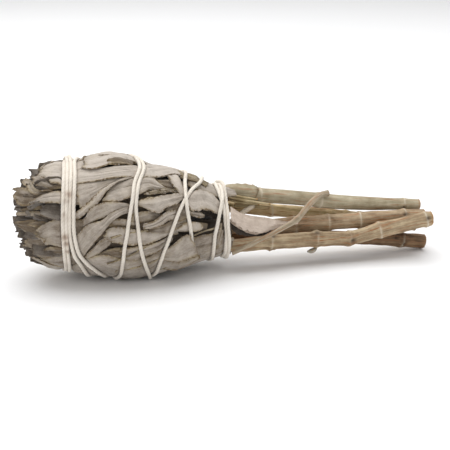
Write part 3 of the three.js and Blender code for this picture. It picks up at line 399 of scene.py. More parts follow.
def add_leaf(bm, layers, edge_a, edge_b, seed, tear=(0, 0, 0, 0), cell=0.8, tone=None, curl=None, folds=None,
             hole=None, ragged=1.0, crown=0.25, lift=0.0, pleats=0.12, sunk=False):
    """One leaf as a sheet over the outline, with its midrib, folds, curled margins and torn edge.

    t runs along it from root to tip, and c across it from -1 to 1. A fold is (c, height), a hole (u, phi),
    and a tear says how far the tip is torn back at four places across.
    """
    length = (edge_length(edge_a) + edge_length(edge_b)) / 2
    width = max(edge_length([along_edge(edge_a, t), along_edge(edge_b, t)]) for t in (0.2, 0.5, 0.8))
    half = max(width / 2, 0.8)
    rows, columns = max(8, round(length / cell)), max(6, round(width / (cell * 0.8)))
    made = bmesh.ops.create_grid(bm, x_segments=rows, y_segments=columns, size=1)["verts"]
    tone = spread(seed, 21, 0.45, 0.9) if tone is None else tone
    rib = spread(seed, 22, -0.25, 0.25)
    curl_a, curl_b = (spread(seed, 23, -0.5, 0.5), spread(seed, 24, -0.5, 0.5)) if curl is None else curl
    if folds is None:
        folds = [(spread(seed, 27, -0.75, 0), spread(seed, 28, -0.4, 0.45)),
                 (spread(seed, 29, 0, 0.75), spread(seed, 30, -0.4, 0.45))]
    tears = ([-1, -0.33, 0.33, 1], list(tear))
    for vert in made:
        t, c = (vert.co.x + 1) / 2, vert.co.y
        end = max(0.0, (t - 0.85) / 0.15)
        fray = 0.26 * wander(t * length * 0.35, c * 2, seed)
        fray += 0.18 * wander(t * length * 1.2, c * 2, seed + 9)
        reach = c * (1 + ragged * fray * abs(c) ** 4 / half) * (1 - 0.12 * end * end)
        at = along_edge(edge_a, t).lerp(along_edge(edge_b, t), (reach + 1) / 2)
        u, phi = at.x, at.y
        if t > TORN_FROM:
            tatter = 0.8 * wander(c * half * 0.4, 1, seed + 4)
            tatter += 0.5 * round(3 * wander(c * half * 0.6, 1, seed + 3)) / 3
            u += (t - TORN_FROM) / (1 - TORN_FROM) * (ragged * tatter - between(c, tears))
        height = at.z + lift * min(1, 2.5 * t) + crown * (1 - c * c)
        height += 0.10 * math.sin(7 * t + seed * 2.3 + 1.7 * c)
        bend = c + 0.12 * wander(t * 2.5, 0, seed + 1)
        for line, depth in folds:
            height += depth * max(0.0, 1 - abs(bend - line) / 0.32)
        pleat = (c * half / PLEAT_PITCH + 0.7 * wander(t * length * 0.05, 2, seed + 11)) % 1
        height += pleats * abs(2 * pleat - 1) * (0.6 + wander(c * 2, t * 2, seed + 12))
        fade = max(0.0, min(1.0, (1 - t) / 0.3))
        height -= RIB_DEPTH * math.exp(-((bend - rib) * half / RIB_WIDTH) ** 2) * fade
        height += 0.18 * wander(c * half * 0.6, t * length * 0.05, seed + 2)
        height += 0.10 * wander(c * half * 1.4, t * length * 0.16, seed + 5)
        height += 0.06 * wander(c * half * 1.2, t * length * 0.6, seed + 6)
        to_side, to_end = (1 - abs(c)) * half, (1 - t) * length
        lip = max(0.0, 1 - to_side / LIP_WIDTH) ** 2
        height += lip * (curl_a if c < 0 else curl_b) * (0.7 + 0.9 * wander(t * length * 0.12, c, seed + 7))
        height += 0.4 * end * end * wander(c * 2.2, 5, seed + 8)
        torn_open = hollow_depth(u, phi) if sunk else 0
        height -= torn_open
        rho = outline(u) + height
        vert.co = place_round(u, phi, rho)
        vert.co.z = max(vert.co.z, 0)
        # Painted light and shade: a leaf is lighter where it stands over the outline and darker where it lies
        # below it or sinks into a hollow. It also darkens towards its torn tip.
        shade = 0.3 * max(-1.5, min(0.3, height)) - 0.45 * max(0.0, t - TORN_FROM) * ragged
        vert[layers["tone"]] = tone + shade - 0.3 * torn_open
        vert[layers["margin"]] = max(0.0, 1 - to_side / MARGIN_WIDTH, 1 - to_end / END_MARGIN)
        vert[layers["grain"]] = Vector((c * half, t * length * 0.12, seed * 3.7))
        vert[layers["station"]] = Vector((u, phi, rho))
    middle = along_edge(edge_a, 0.5).lerp(along_edge(edge_b, 0.5), 0.5)
    face_outwards(bm, made, place_round(middle.x, middle.y, 20) - place_round(middle.x, middle.y, 0))
    if hole:
        eye = place_round(hole[0], hole[1], outline(hole[0]))
        faces = {face for vert in made for face in vert.link_faces}
        nearest = min(faces, key=lambda face: (face.calc_center_median() - eye).length)
        bmesh.ops.delete(bm, geom=[nearest], context="FACES")


MIDDLE_LEAVES = [
    ([(64, 106, -0.8), (57, 106, 0), (50, 102, 0.1), (44, 84, 0.1), (39, 71, 0.1), (32, 66, 0.1),
      (25.2, 66, 0), (21.5, 70, -0.1), (17.8, 71, -0.3)],
     [(61, 79, -0.8), (54.8, 75, 0.2), (49, 64, 0.3), (42.2, 56, 0.2), (35.8, 52, 0.1), (31, 50, 0.2),
      (25.2, 48, 0.2), (21.5, 47, 0.1), (17.2, 46, -0.1)],
     {"tone": 1.0, "folds": [(-0.4, -0.35), (0.3, 0.3)], "curl": (-0.2, 0.35)}),
    ([(42, 112, -0.6), (37, 114, 0.2), (32, 112, 0.5), (26, 108, 0.4), (22.5, 104, 0.2)],
     [(35.8, 72, -0.6), (32.5, 67, -0.1), (30, 66, 0.5), (25, 63, 0.7), (21.2, 67, 0.5)],
     {"tone": 0.95, "folds": [(-0.2, -0.8), (0.5, 0.5)], "curl": (0.3, 0.6), "ragged": 1.6}),
    ([(50, 120, -0.2), (42, 122, 0.3), (34, 120, 0.4), (27, 116, 0.2)],
     [(41.8, 84, -0.4), (37, 80, 0.1), (33, 86, 0.3), (27.2, 92, 0.2)],
     {"tone": 0.9}),
    ([(38.2, 66, -1), (33, 54, -0.7), (26.8, 50, -0.5), (21.5, 49, -0.4), (17.5, 46, -0.5)],
     [(33.5, 42, -1), (29.6, 41, -0.6), (24.8, 32, -0.3), (22, 24, -0.2), (19.8, 18, -0.2)],
     {"tone": 0.7, "curl": (-0.2, 0.2)}),
    ([(39, 57, -0.5), (35, 51, 0.1), (30.2, 44, 0.4), (26, 36, 0.5), (23.5, 28, 0.5), (21.2, 22, 0.4),
      (18.2, 15, 0.2), (15.5, 12, -0.2)],
     [(38.8, 54, -0.5), (35, 48, 0.2), (32.2, 44, 0.5), (28.8, 36, 0.6), (25.8, 25, 0.6), (23, 18, 0.4),
      (20.5, 10, 0.1), (18, 6, -0.3)],
     {"tone": 0.85, "folds": [(0.0, 0.35)], "curl": (-0.2, -0.3)}),
    ([(55.2, 50, -0.9), (51.2, 48, -0.2), (48, 53, 0.1), (45.8, 59, 0), (41.5, 56, -0.1), (37, 51, -0.2),
      (34, 47, -0.5), (30.2, 41, -0.8)],
     [(55.2, 46, -0.9), (51.2, 46, -0.3), (45, 44, 0), (41.2, 37, 0.2), (37.2, 32, 0.3), (33, 27, 0.2),
      (30.5, 26.5, 0), (26.8, 26, -0.6)],
     {"tone": 0.8, "folds": [(-0.3, -0.35), (0.45, 0.35)], "curl": (-0.1, 0.5)}),
    ([(38.2, 24, -0.6), (35, 25.5, 0.1), (32.5, 26, 0.3), (29.5, 26, 0.4), (26.2, 24, 0.4), (23.5, 20, 0.3),
      (22, 14, 0.2), (21.2, 10, 0.1)],
     [(37.5, 18, -0.8), (34.5, 19.5, -0.3), (32.2, 19, 0), (28.2, 12, 0), (25.2, 8, -0.1), (23, 4, -0.1),
      (21.8, 2, -0.1), (21, 0, -0.2)],
     {"tone": 0.65, "hole": (28.6, 14)}),
    ([(38.5, 25, -0.4), (35, 22, 0.3), (30.2, 16, 0.6), (27, 9, 0.7), (23.8, 6, 0.7), (21.2, 0, 0.6),
      (19, -13, 0.3), (18.2, -22, -0.1)],
     [(38.8, 17, -0.4), (35, 16, 0.3), (31, 9, 0.6), (28.5, 0, 0.6), (26.2, -10, 0.6), (24, -22, 0.5),
      (22.2, -38, 0.3), (21, -44, 0.1)],
     {"tone": 0.55, "folds": [(0.1, 0.75)], "curl": (-0.3, -0.3)}),
    ([(39, 11, -1.1), (34, 10.5, -0.8), (30, 10, -0.9)],
     [(39, 4, -1.2), (34, 3.5, -0.9), (29.5, 3, -1)],
     {"tone": 0.2}),
    ([(55.2, 5, -0.9), (51.5, 2, -0.3), (47, 2, 0), (41.5, 3, 0.1), (36.2, 4, 0.1), (33.5, 4, 0),
      (30.8, 3, -0.1), (28.8, 0, -0.4)],
     [(55.5, 0, -0.9), (52, -1, -0.4), (47.5, -6, -0.1), (43, -10, 0), (37, -12, 0), (34.8, -12, -0.1),
      (31.5, -11, -0.1), (28.5, -8, -0.4)],
     {"tone": 0.72, "folds": [(-0.2, 0.3), (0.5, -0.3)], "curl": (-0.2, 0.3)}),
    ([(30.2, -5, -0.6), (27.2, -12, -0.4), (24.5, -24, -0.3), (22.2, -36, -0.4)],
     [(31.4, -13, -0.4), (29.4, -20, -0.1), (26.8, -30, -0.1), (23.2, -42, -0.3)],
     {"tone": 0.6}),
    ([(45, -27, -0.6), (38.5, -28, -0.2), (34.2, -28, 0), (29.8, -26, 0.1), (26.2, -30, 0.1),
      (22.5, -40, 0), (19.5, -56, -0.3)],
     [(46, -84, -0.8), (40, -84, -0.3), (34, -84, -0.1), (29, -82, 0), (24, -80, 0), (20, -76, -0.1),
      (17, -72, -0.4)],
     {"tone": 0.5, "folds": [(-0.2, -0.4), (0.3, 0.35)]}),
    ([(38.5, -16, -1), (35, -17, -0.9), (31, -20, -0.8), (27.2, -28, -0.9)],
     [(39, -31, -1.1), (35.5, -32, -1), (31.8, -33, -1), (27.5, -38, -1)],
     {"tone": 0.0}),
    ([(53.5, 1, -0.6), (50.5, -4, -0.1), (46.8, -8, 0.1), (43, -11, 0.2), (38, -14, 0.1),
      (34.2, -18, -0.1)],
     [(53.5, -8, -0.7), (49.8, -16, -0.1), (47.5, -20, 0.1), (45.2, -22, 0.1), (41, -27, 0),
      (37.5, -30, -0.2)],
     {"tone": 0.5, "curl": (0.3, 0.2)}),
    ([(52.2, -14, -0.7), (49.8, -17, -0.3), (46, -24, -0.1), (41, -28, -0.1), (36.8, -32, -0.3)],
     [(57, -48, -0.5), (51.5, -54, 0), (44, -72, 0.1), (38, -78, 0), (32, -80, -0.3)],
     {"tone": 0.45}),
    ([(49.8, -23, -0.4), (52.2, -13, 0.5), (54.8, -6, 0.8), (57.5, 0, 0.8), (60, 0, 0.6)],
     [(50.5, -29, -0.4), (54.2, -30, 0.4), (57.8, -32, 0.6), (61.2, -29, 0.8), (64.5, -26, 0.7)],
     {"tone": 0.52, "folds": [(0.0, 0.35)], "curl": (-0.2, 0.5)}),
    ([(50.8, -29, -0.4), (57.2, -35, 0.2), (61.5, -32, 0.5), (65, -29, 0.4)],
     [(52, -48, -0.4), (57, -49, 0.1), (61, -44, 0.3), (65.5, -37, 0.2)],
     {"tone": 0.5}),
    ([(58.8, 50, -0.4), (56.5, 44, 0.4), (52.8, 42, 0.8), (47, 36, 0.8), (44.2, 34, 0.7), (39.5, 30, 0.4),
      (38, 28, -0.3)],
     [(58.2, 42, -0.4), (55.8, 36, 0.4), (53, 29, 0.8), (50.2, 26, 0.9), (47.5, 20, 0.9), (43.2, 22, 0.8),
      (38.8, 26, -0.2)],
     {"tone": 0.8, "folds": [(-0.1, 0.4)], "curl": (-0.2, 0.4), "ragged": 1.8}),
    ([(73, 44, -0.8), (70.8, 50, 0), (68.5, 56, 0.5), (65.8, 58, 0.6), (62.2, 54, 0.6), (58.8, 48, 0.5),
      (56.8, 43, 0.1)],
     [(72.8, 27, -0.8), (69, 27, 0.3), (66.5, 29, 0.8), (63.8, 28, 0.9), (60, 25, 0.8), (58.5, 31, 0.6),
      (57, 37, 0.1)],
     {"tone": 0.8, "folds": [(-0.4, 0.3), (0.2, -0.35)], "ragged": 3.2}),
    ([(58.8, 31, -0.7), (54.8, 33, -0.3), (51.5, 28, -0.2), (49.8, 25, -0.5)],
     [(59.5, 20, -0.7), (56.2, 14, -0.3), (53.5, 16, -0.2), (51.4, 21, -0.5)],
     {"tone": 0.25}),
    ([(55, 26, -0.7), (51.5, 24, 0.2), (48.2, 18, 0.5), (46, 13, 0.6), (42, 9, 0.6)],
     [(56, 18, -0.7), (51.2, 14, 0.2), (48, 8, 0.5), (44.2, 5, 0.6), (42.2, 4, 0.6)],
     {"tone": 0.7, "folds": [(-0.35, 0.4), (0.3, 0.4)], "curl": (0.4, 0.1)}),
    ([(48, 22, -1), (44, 21, -0.5), (40.5, 19, -0.4), (37.2, 16, -0.6)],
     [(48, 14, -1.2), (45, 12, -0.7), (40.8, 9, -0.5), (37.5, 8, -0.7)],
     {"tone": 0.45}),
    ([(58.2, 18, -1.2), (54.2, 17, -0.7), (51.2, 12, -0.6), (47.5, 7, -0.6), (44.5, 5, -0.8)],
     [(58.5, 8, -1.2), (55.2, 5, -0.8), (52.8, 1, -0.6), (49, 0, -0.5), (44.8, 0, -0.8)],
     {"tone": 0.45}),
    ([(60, -76, -0.6), (50, -74, 0.4), (41, -74, 1.2), (32, -77, 0.6), (24, -84, -0.6)],
     [(60, -112, -0.8), (50, -114, 0.4), (41, -112, 1.2), (32, -109, 0.6), (24, -106, -0.6)],
     {"tone": 0.5}),
    ([(57.5, 68, -1), (51.8, 64, -0.6), (47.2, 60, -0.6)],
     [(57, 52, -1), (52, 50, -0.6), (49, 51, -0.6)],
     {"tone": 0.15}),
    ([(57, 96, -0.5), (61, 96, 0.4), (65, 93, 0.6), (68.4, 86, 0.1)],
     [(57, 74, -0.5), (61, 73, 0), (65, 75, 0.3), (68, 79, 0)],
     {"tone": 0.25, "crown": 0.5}),
    ([(67, 11, -1.8), (62, 13, -1), (58, 12, -0.9), (54, 10, -1.6)],
     [(67, 3, -1.8), (62, 1, -0.8), (58, 1, -0.8), (54, 3, -1.6)],
     {"tone": 0.0}),
    ([(66, -33, -0.5), (58, -40, 0), (51, -46, 0.1), (44, -52, -0.1)],
     [(66, -48, -0.5), (58, -54, -0.1), (51, -62, -0.1), (44, -68, -0.4)],
     {"tone": 0.65}),
    ([(78, -14, -0.9), (71, -3, -0.4), (66, -4, -0.4), (60.5, -7, -0.9)],
     [(78, -34, -0.8), (71, -46, -0.1), (66, -47, 0), (59, -44, -0.5)],
     {"tone": 0.5}),
    ([(74, 1, -0.2), (73.2, -9, 0.3), (73, -18, 0.3), (72, -31, -0.2)],
     [(71, 1, -0.2), (70.4, -9, 0.3), (70.5, -18, 0.3), (70.8, -31, -0.2)],
     {"tone": 0.5}),
    ([(48, 66, -1.5), (40, 64, -1.2), (33, 60, -1.3)],
     [(49, 54, -1.2), (41, 51, -1), (34, 49, -1.1)],
     {"tone": 0.15}),
    ([(46, 13, -1.9), (38, 11, -1.6), (30, 8, -1.5), (24, -4, -1.6)],
     [(46, -6, -1.7), (38, -8, -1.5), (30, -10, -1.4), (25, -18, -1.4)],
     {"tone": 0.15}),
    ([(79, 88, -1.2), (73, 95, -0.6), (67, 94, -0.5), (60, 92, -1)],
     [(79, 66, -1.3), (73, 59, -0.9), (67, 60, -0.8), (60, 62, -1.2)],
     {"tone": 0.8}),
    ([(79, -52, -1), (73, -44, -0.4), (66, -47, -0.1), (57, -56, -0.2)],
     [(79, -70, -1.2), (73, -80, -0.6), (66, -82, -0.2), (57, -84, -0.4)],
     {"tone": 0.7}),
    ([(51.6, 69, 0), (52.8, 55, 0.4), (54.3, 47, 0.4), (55.6, 42, -0.2)],
     [(55.8, 74, 0), (56.9, 61, 0.3), (57.6, 50, 0.3), (58.2, 43, -0.2)],
     {"tone": 0.95, "curl": (0.3, 0.1)}),
    ([(46, -8, -0.2), (41, -16, 0.3), (36, -26, 0.3), (31, -35, 0)],
     [(46, -10.5, -0.3), (41, -19, 0.1), (36, -29, 0.1), (31, -37, -0.2)],
     {"tone": 0.25, "crown": 0.5, "folds": ()}),
    ([(52, -24, -0.2), (47, -30, 0.4), (42, -36, 0.4), (37, -43, 0)],
     [(52, -27, -0.3), (47, -33, 0.2), (42, -39.5, 0.2), (37, -46, -0.2)],
     {"tone": 0.45, "crown": 0.4, "folds": ()}),
    ([(44, 4, -0.3), (40, 2, 0.2), (35, -1, 0.3), (31, -6, 0)],
     [(44, 2, -0.4), (40, -0.5, 0.1), (35, -4, 0.1), (31, -8, -0.2)],
     {"tone": 0.6, "crown": 0.3, "folds": ()}),
    ([(56, 88, -0.4), (60, 84, 0.2), (64, 80, 0.3), (67, 75, 0)],
     [(56, 80, -0.5), (60, 77, 0.1), (64, 74, 0.1), (67, 70, -0.2)],
     {"tone": 0.3, "crown": 0.5}),
    ([(72.9, 13, -0.3), (72.7, 6, 0.1), (72.6, -4, 0.3), (72.4, -16, 0.3), (72.4, -30, 0.1)],
     [(70.6, 12, -0.3), (70.4, 6, 0.1), (70, -4, 0.3), (70, -16, 0.3), (71, -28, 0.1)],
     {"tone": -0.4, "crown": 0.1}),
    ([(72.2, 6, 0.5), (71.9, -3, 0.8), (71.8, -13, 0.8), (71.9, -24, 0.4)],
     [(71.3, 6, 0.5), (70.9, -3, 0.8), (70.8, -13, 0.8), (71.4, -24, 0.4)],
     {"tone": 0.6, "crown": 0.4, "folds": ()}),
    ([(58, 27, -0.3), (60.5, 26, 0.3), (63, 26, 0.4), (65.2, 24, 0.2)],
     [(58, 22, -0.5), (60.8, 20, 0.1), (63, 18.5, 0.3), (64.8, 19, 0.1)],
     {"tone": 0.6, "ragged": 3.0, "folds": [(-0.3, 0.7), (0.4, -0.7)]}),
    ([(39, 82, -0.6), (36.5, 80, -0.1), (33.2, 79, 0.4), (30, 76, 0.5)],
     [(39, 70, -0.6), (36, 69, -0.1), (32.8, 68, 0.4), (29.8, 68, 0.4)],
     {"tone": -0.3, "crown": 0.8, "ragged": 1.6}),
    ([(46, 100, -1.4), (43.8, 99, -1.1), (38, 92, -0.5), (32.8, 93, -0.1), (28, 101, 0.1),
      (25.2, 107, 0.1)],
     [(46, 86, -1.4), (42.5, 84, -1), (37.5, 81, -0.5), (32.2, 83, -0.1), (27.5, 91, 0), (25, 95, 0)],
     {"tone": -0.1, "ragged": 1.6, "curl": (0.3, 0.4)}),
    ([(54, 5, -1.4), (55, 6, -0.8), (57.5, 12, 0.2), (60.8, 14, 0.6), (64, 12, 0.6)],
     [(54.5, 2, -1.5), (55.8, 2, -0.9), (59, 2, -0.1), (62.2, 2, 0.3), (65, 4, 0.5)],
     {"tone": 0.85, "crown": 0.7, "folds": ()}),
    ([(50, 43.5, -0.2), (46.9, 43.2, 0.2), (44, 40.5, 0.3), (41.5, 39, 0.1)],
     [(50, 40.5, -0.3), (46.9, 39.7, 0.2), (44, 36.2, 0.3), (41.5, 35.5, 0.1)],
     {"tone": 0.7, "crown": 0.5, "ragged": 1.6}),
    ([(53, 49, -0.1), (49.7, 47, 0.5), (47, 44.2, 0.6)],
     [(53.2, 45.5, -0.1), (50, 43.2, 0.5), (47.3, 41.3, 0.6)],
     {"tone": 0.85, "crown": 0.5, "ragged": 1.6}),
    ([(54, 49, 0.2), (50.5, 45.5, 0.5), (47, 41.5, 0.6), (43.5, 38.2, 0.5)],
     [(54, 47.8, 0.1), (50.5, 44.2, 0.5), (47, 40.2, 0.6), (43.5, 36.9, 0.5)],
     {"tone": 0.3, "crown": 0.3}),
    ([(31, 10.5, -0.6), (34, 11.5, -0.1), (37.2, 10.8, -0.1), (39.5, 9, -0.4)],
     [(31, 5, -0.7), (34, 5.5, -0.1), (37, 6.5, -0.1), (39.5, 7, -0.5)],
     {"tone": 0.55, "crown": 0.4}),
    ([(60, -5, -0.6), (65.7, 2.4, -0.2), (69.5, 6.3, 0.1), (70.9, 9.4, 0.2)],
     [(60, -6.6, -0.6), (65.8, 0.8, -0.2), (69.6, 4.6, 0.1), (71, 8, 0.2)],
     {"tone": 0.6, "crown": 0.5}),
]
OVER_THREAD = (15, 16)
GOLDEN = (25, 35, 36, 37, 38, 47, 49)


def leaf_piece(name, material, leaves, add, thickness=LEAF_THICKNESS):
    """Makes one piece of several leaves."""
    bm, layers = new_leaves()
    for leaf in leaves:
        add(bm, layers, leaf)
    return finish_piece(bm, name, material, ["leaf_bundle"], thickness)


def middle_leaves(name, material, numbers, **form):
    """Makes one piece of the leaves that have the given numbers in MIDDLE_LEAVES."""
    def add(bm, layers, i):
        edge_a, edge_b, settings = MIDDLE_LEAVES[i]
        add_leaf(bm, layers, edge_a, edge_b, i + 20, **form, **settings)
    return leaf_piece(name, material, numbers, add)


PLAIN = [i for i in range(len(MIDDLE_LEAVES)) if i not in OVER_THREAD + GOLDEN]
front_leaves = middle_leaves("front_leaves", LEAF_MATERIAL, PLAIN, cell=0.58)

# The narrow golden leaves that show edge on in the gaps of the head.
# They are the same dried sage, kept from the light, so they stayed yellower.
GOLDEN_MATERIAL = dried_leaf_material("golden_leaf", (0.50, 0.425, 0.285, 1), (0.15, 0.11, 0.06, 1),
                                      (0.15, 0.10, 0.045, 1), 1.5)
golden_leaves = middle_leaves("golden_leaves", GOLDEN_MATERIAL, GOLDEN, cell=0.58)

# The leaf ends on the tip side of the left band: dried sage, cut and crumbled by handling.
# They run under the band and stand open past it. Their rows are like those of MIDDLE_LEAVES.
BRUSH_END_LEAVES = [
    ([(26, 8, -1.3), (17.5, 7, -0.9), (13.2, 8, -0.2), (10.2, 5, 0.2), (7.2, -2, 0.4), (5.2, -11, 0.4)],
     [(26, -28, -1.3), (18.5, -28, -0.9), (14.2, -26, -0.2), (11.8, -24, 0.1), (8.5, -26, 0.4),
      (8, -18, 0.4)],
     {"tone": 0.42, "ragged": 2.0, "pleats": 0.05, "folds": ()}),
    ([(26, 42, -1.2), (16.5, 41, -0.9), (13, 38, -0.1), (9.8, 36, 0.2), (6.8, 33, 0.4), (4.2, 28, 0.4),
      (2.8, 24.4, 0.3)],
     [(26, 23, -1.2), (16.5, 23, -0.9), (13, 23, -0.2), (10, 24, 0.1), (7, 24, 0.2), (4.2, 24, 0.3),
      (2.5, 23.6, 0.3)],
     {"tone": 0.75, "ragged": 0.7, "folds": [(0.2, 0.4)]}),
    ([(28, 102, -1), (22, 104, -0.6), (17.2, 107, -0.3), (14.5, 109, 0.1), (11.8, 109, 0.2),
      (9.5, 102, 0.3), (7, 84, 0.4)],
     [(26, 46, -0.9), (19, 46, -0.5), (15.8, 46, -0.2), (12.8, 46, 0.1), (9.8, 50, 0.5), (8, 58, 0.6),
      (5.8, 68, 0.5)],
     {"tone": 0.9, "ragged": 2.2, "folds": [(-0.2, 0.35), (0.5, -0.3)], "curl": (0.3, -0.9)}),
    ([(30, 66, -0.9), (22, 62, -0.8), (16, 58, -1), (10, 57, -1.3), (6, 56, -1.2)],
     [(30, 51, -0.6), (25, 50, -0.5), (18, 45, -0.8), (11, 42, -1.4), (5, 43, -1.4)],
     {"tone": 0.1}),
    ([(12, 52, -1.8), (9.8, 51, -1.2), (8, 57, -0.3), (6.2, 64, 0.3), (4, 68, 0.5)],
     [(12, 44, -2), (9.8, 44, -1.4), (7.2, 46, -0.5), (5.2, 48, 0.2), (3.5, 56, 0.4)],
     {"tone": 0.45, "crown": 0.9, "ragged": 1.4}),
    ([(9, 74, -2.2), (5.8, 72, -1.6), (4.2, 80, -1.3)],
     [(9, 56, -2.2), (6.8, 56, -1.8), (4.5, 62, -1.5)],
     {"tone": -0.3}),
    ([(11, 38, -2.2), (9, 40, -1.6), (6.5, 41, -1), (4.5, 47, -0.6), (3.2, 63, -0.2), (1.2, 74, 0.1)],
     [(9, 34, -2.3), (6.8, 36, -1.8), (4.8, 36, -1.2), (2.8, 42, -0.8), (1.8, 54, -0.5), (0.5, 66, -0.3)],
     {"tone": 0.5, "curl": (0.6, 0.5), "ragged": 1.2}),
    ([(10, 36, -3), (5.8, 38, -2), (2.8, 48, -1.4), (0.8, 54, -0.8), (-2.2, 62, -0.2)],
     [(10, 24, -3), (6.5, 26, -2), (2.5, 22, -1.4), (-0.2, 22, -0.8), (-2, 28, -0.3)],
     {"tone": 0.35, "ragged": 2.2, "curl": (0.5, 0.7), "folds": [(0.0, -0.6)]}),
    ([(14, 22, -2.7), (9.2, 22, -2), (4.2, 20, -1.6), (0.8, 16, -1.2), (0, 14, -1)],
     [(14, 15, -2.9), (9.2, 16, -2.2), (4.5, 14, -1.8), (1, 11, -1.4), (0, 12, -1)],
     {"tone": 0.25, "ragged": 2.0}),
    ([(14, 15, -2.4), (8.5, 14, -1.4), (4.2, 13, -0.9), (0.5, 10, -0.6), (-1.5, 8, -0.5)],
     [(14, 8, -2.6), (8.8, 7, -1.5), (4.2, 6, -1), (0.8, 4, -0.7), (-1.5, 2, -0.5)],
     {"tone": 0.45, "crown": 0.7, "folds": ()}),
    ([(11, 2, -2), (6, 0, -1.2), (2.5, -4, -0.8)],
     [(11, -6, -2), (6, -8, -1.1), (2.8, -8, -0.8)],
     {"tone": 0.35, "ragged": 1.5}),
    ([(14, 4, -3.1), (10.2, 4, -2.6), (5.5, 2, -1.8), (1.8, -4, -1.3), (-1.2, -10, -0.9)],
     [(14, -18, -3.1), (9.2, -18, -2.6), (5.5, -22, -1.9), (2.5, -24, -1.4), (-0.8, -18, -1)],
     {"tone": 0.2, "ragged": 2.2, "curl": (0.6, 0.4)}),
    ([(14, -18, -2.8), (10.8, -18, -2.4), (6.5, -21, -1.6), (3, -28, -1)],
     [(14, -37, -2.6), (10.5, -37, -2.2), (7.2, -42, -1.5), (2.8, -60, -0.9)],
     {"tone": 0.45, "ragged": 2.0, "curl": (0.5, 0.3)}),
    ([(20, -28, -1.2), (15.8, -28, -1), (12, -28, -0.9), (9.8, -33, -0.8), (6.8, -45, -0.7)],
     [(20, -44, -1.2), (16.2, -42, -1), (12.8, -48, -0.9), (10.5, -54, -0.8), (6.2, -60, -0.7)],
     {"tone": 0.1, "ragged": 2.6, "curl": (0.5, 0.5)}),
    ([(23, -38, -0.7), (18.2, -37, -0.5), (14.8, -39, -0.4), (12.2, -44, -0.4), (9.8, -56, -0.4)],
     [(23, -62, -0.7), (20, -60, -0.5), (17.2, -62, -0.4), (15, -62, -0.4), (11.2, -60, -0.4)],
     {"tone": 0.45, "ragged": 2.4}),
    ([(22, -58, -1), (15, -58, -0.8), (9, -60, -0.7)],
     [(22, -84, -1), (15, -86, -0.8), (9, -84, -0.9)],
     {"tone": 0.5, "ragged": 2.0}),
    ([(26, 124, -0.6), (18, 122, -0.1), (12, 118, 0), (9.5, 112, -0.2)],
     [(26, 100, -0.6), (18, 98, -0.3), (12, 94, -0.4), (10, 88, -0.6)],
     {"tone": 0.75, "ragged": 2.2}),
]


def add_tip_leaf(bm, layers, i):
    edge_a, edge_b, settings = BRUSH_END_LEAVES[i]
    add_leaf(bm, layers, edge_a, edge_b, i + 1, cell=0.45, **settings)


tip_leaves = leaf_piece("tip_leaves", LEAF_MATERIAL, range(len(BRUSH_END_LEAVES)), add_tip_leaf)

# The second layer: dried leaves under the ones that show, laid by rule from a root to a tip, coloured darker
# as painted shade.
# They are widest near the middle, and each turns a little round the stick as it runs to the tips.
UNDER_LEAVES = 12
TURN_BETWEEN_LEAVES = 137.5
WIDTH_ALONG = [0.5, 0.86, 1, 0.94, 0.66, 0.16]


def ruled_edges(u_root, phi_root, u_tip, phi_tip, width, h_root, h_tip):
    edges = [], []
    for i, share in enumerate(WIDTH_ALONG):
        t = i / (len(WIDTH_ALONG) - 1)
        u, phi, height = mix(u_root, u_tip, t), mix(phi_root, phi_tip, t), mix(h_root, h_tip, t)
        per_degree = (outline(u) + height) * math.pi / 180
        run = Vector((u_tip - u_root, (phi_tip - phi_root) * per_degree)).normalized()
        half = width / 2 * share
        edges[0].append((u - run.y * half, phi + run.x * half / per_degree, height))
        edges[1].append((u + run.y * half, phi - run.x * half / per_degree, height))
    return edges


def add_under_leaf(bm, layers, i):
    phi = TURN_BETWEEN_LEAVES * i
    u_root = mix(77, 42, ((i * 7) % UNDER_LEAVES) / UNDER_LEAVES)
    edges = ruled_edges(u_root, phi, max(u_root - spread(i, 1, 30, 38), 9), phi + spread(i, 2, -26, 26),
                        spread(i, 3, 11, 15), -2.6, -1.5)
    add_leaf(bm, layers, *edges, i, cell=0.8, tone=spread(i, 25, 0.2, 0.7), sunk=True)


# A darker copy of the leaf colours: painted shade under the front leaves.
SHADED_MATERIAL = dried_leaf_material("shaded_leaf", (0.255, 0.212, 0.162, 1), (0.072, 0.051, 0.032, 1),
                                      (0.05, 0.03, 0.018, 1), warm=(0.17, 0.125, 0.075, 1))
under_leaves = leaf_piece("under_leaves", SHADED_MATERIAL, range(UNDER_LEAVES), add_under_leaf, 0.0004)

# The leaves of the back and the underside: whole dried leaves laid by the same rule as the second layer.
# They end in a ring of torn tips past the left band, and the lowest are pressed flat on the paper.
BACK_LEAVES = 26
BACK_TIP_LEAVES = 9
BACK_FROM_PHI = 108
BACK_SPAN_PHI = 150
STEP_ROUND_BACK = 0.618034


def add_back_leaf(bm, layers, i):
    phi = BACK_FROM_PHI + BACK_SPAN_PHI * ((i * STEP_ROUND_BACK) % 1)
    u_root = mix(78, 33, i / (BACK_LEAVES - 1))
    u_tip = max(u_root - spread(i, 4, 28, 40), spread(i, 5, 6, 10))
    edges = ruled_edges(u_root, phi, u_tip, phi + spread(i, 6, -30, 30), spread(i, 7, 11, 16),
                        -1.2, spread(i, 8, -0.2, 0.3))
    add_leaf(bm, layers, *edges, i + 50, cell=0.85)


def add_back_tip(bm, layers, i):
    phi = 112 + 172 * i / (BACK_TIP_LEAVES - 1)
    u_tip = spread(i, 9, 5, 9)
    edge_a = [(24, phi + 11, -1), (16, phi + 12, -0.5), (u_tip, phi + 9, 0)]
    edge_b = [(24, phi - 11, -0.8), (16, phi - 12, -0.3), (u_tip, phi - 9, 0.1)]
    tear = (0, spread(i, 10, -1.5, 1.5), spread(i, 11, -1.5, 1.5), 0)
    add_leaf(bm, layers, edge_a, edge_b, i + 90, tear, cell=0.7, ragged=2.0)


def add_from_behind(bm, layers, i):
    if i < BACK_LEAVES:
        add_back_leaf(bm, layers, i)
    else:
        add_back_tip(bm, layers, i - BACK_LEAVES)


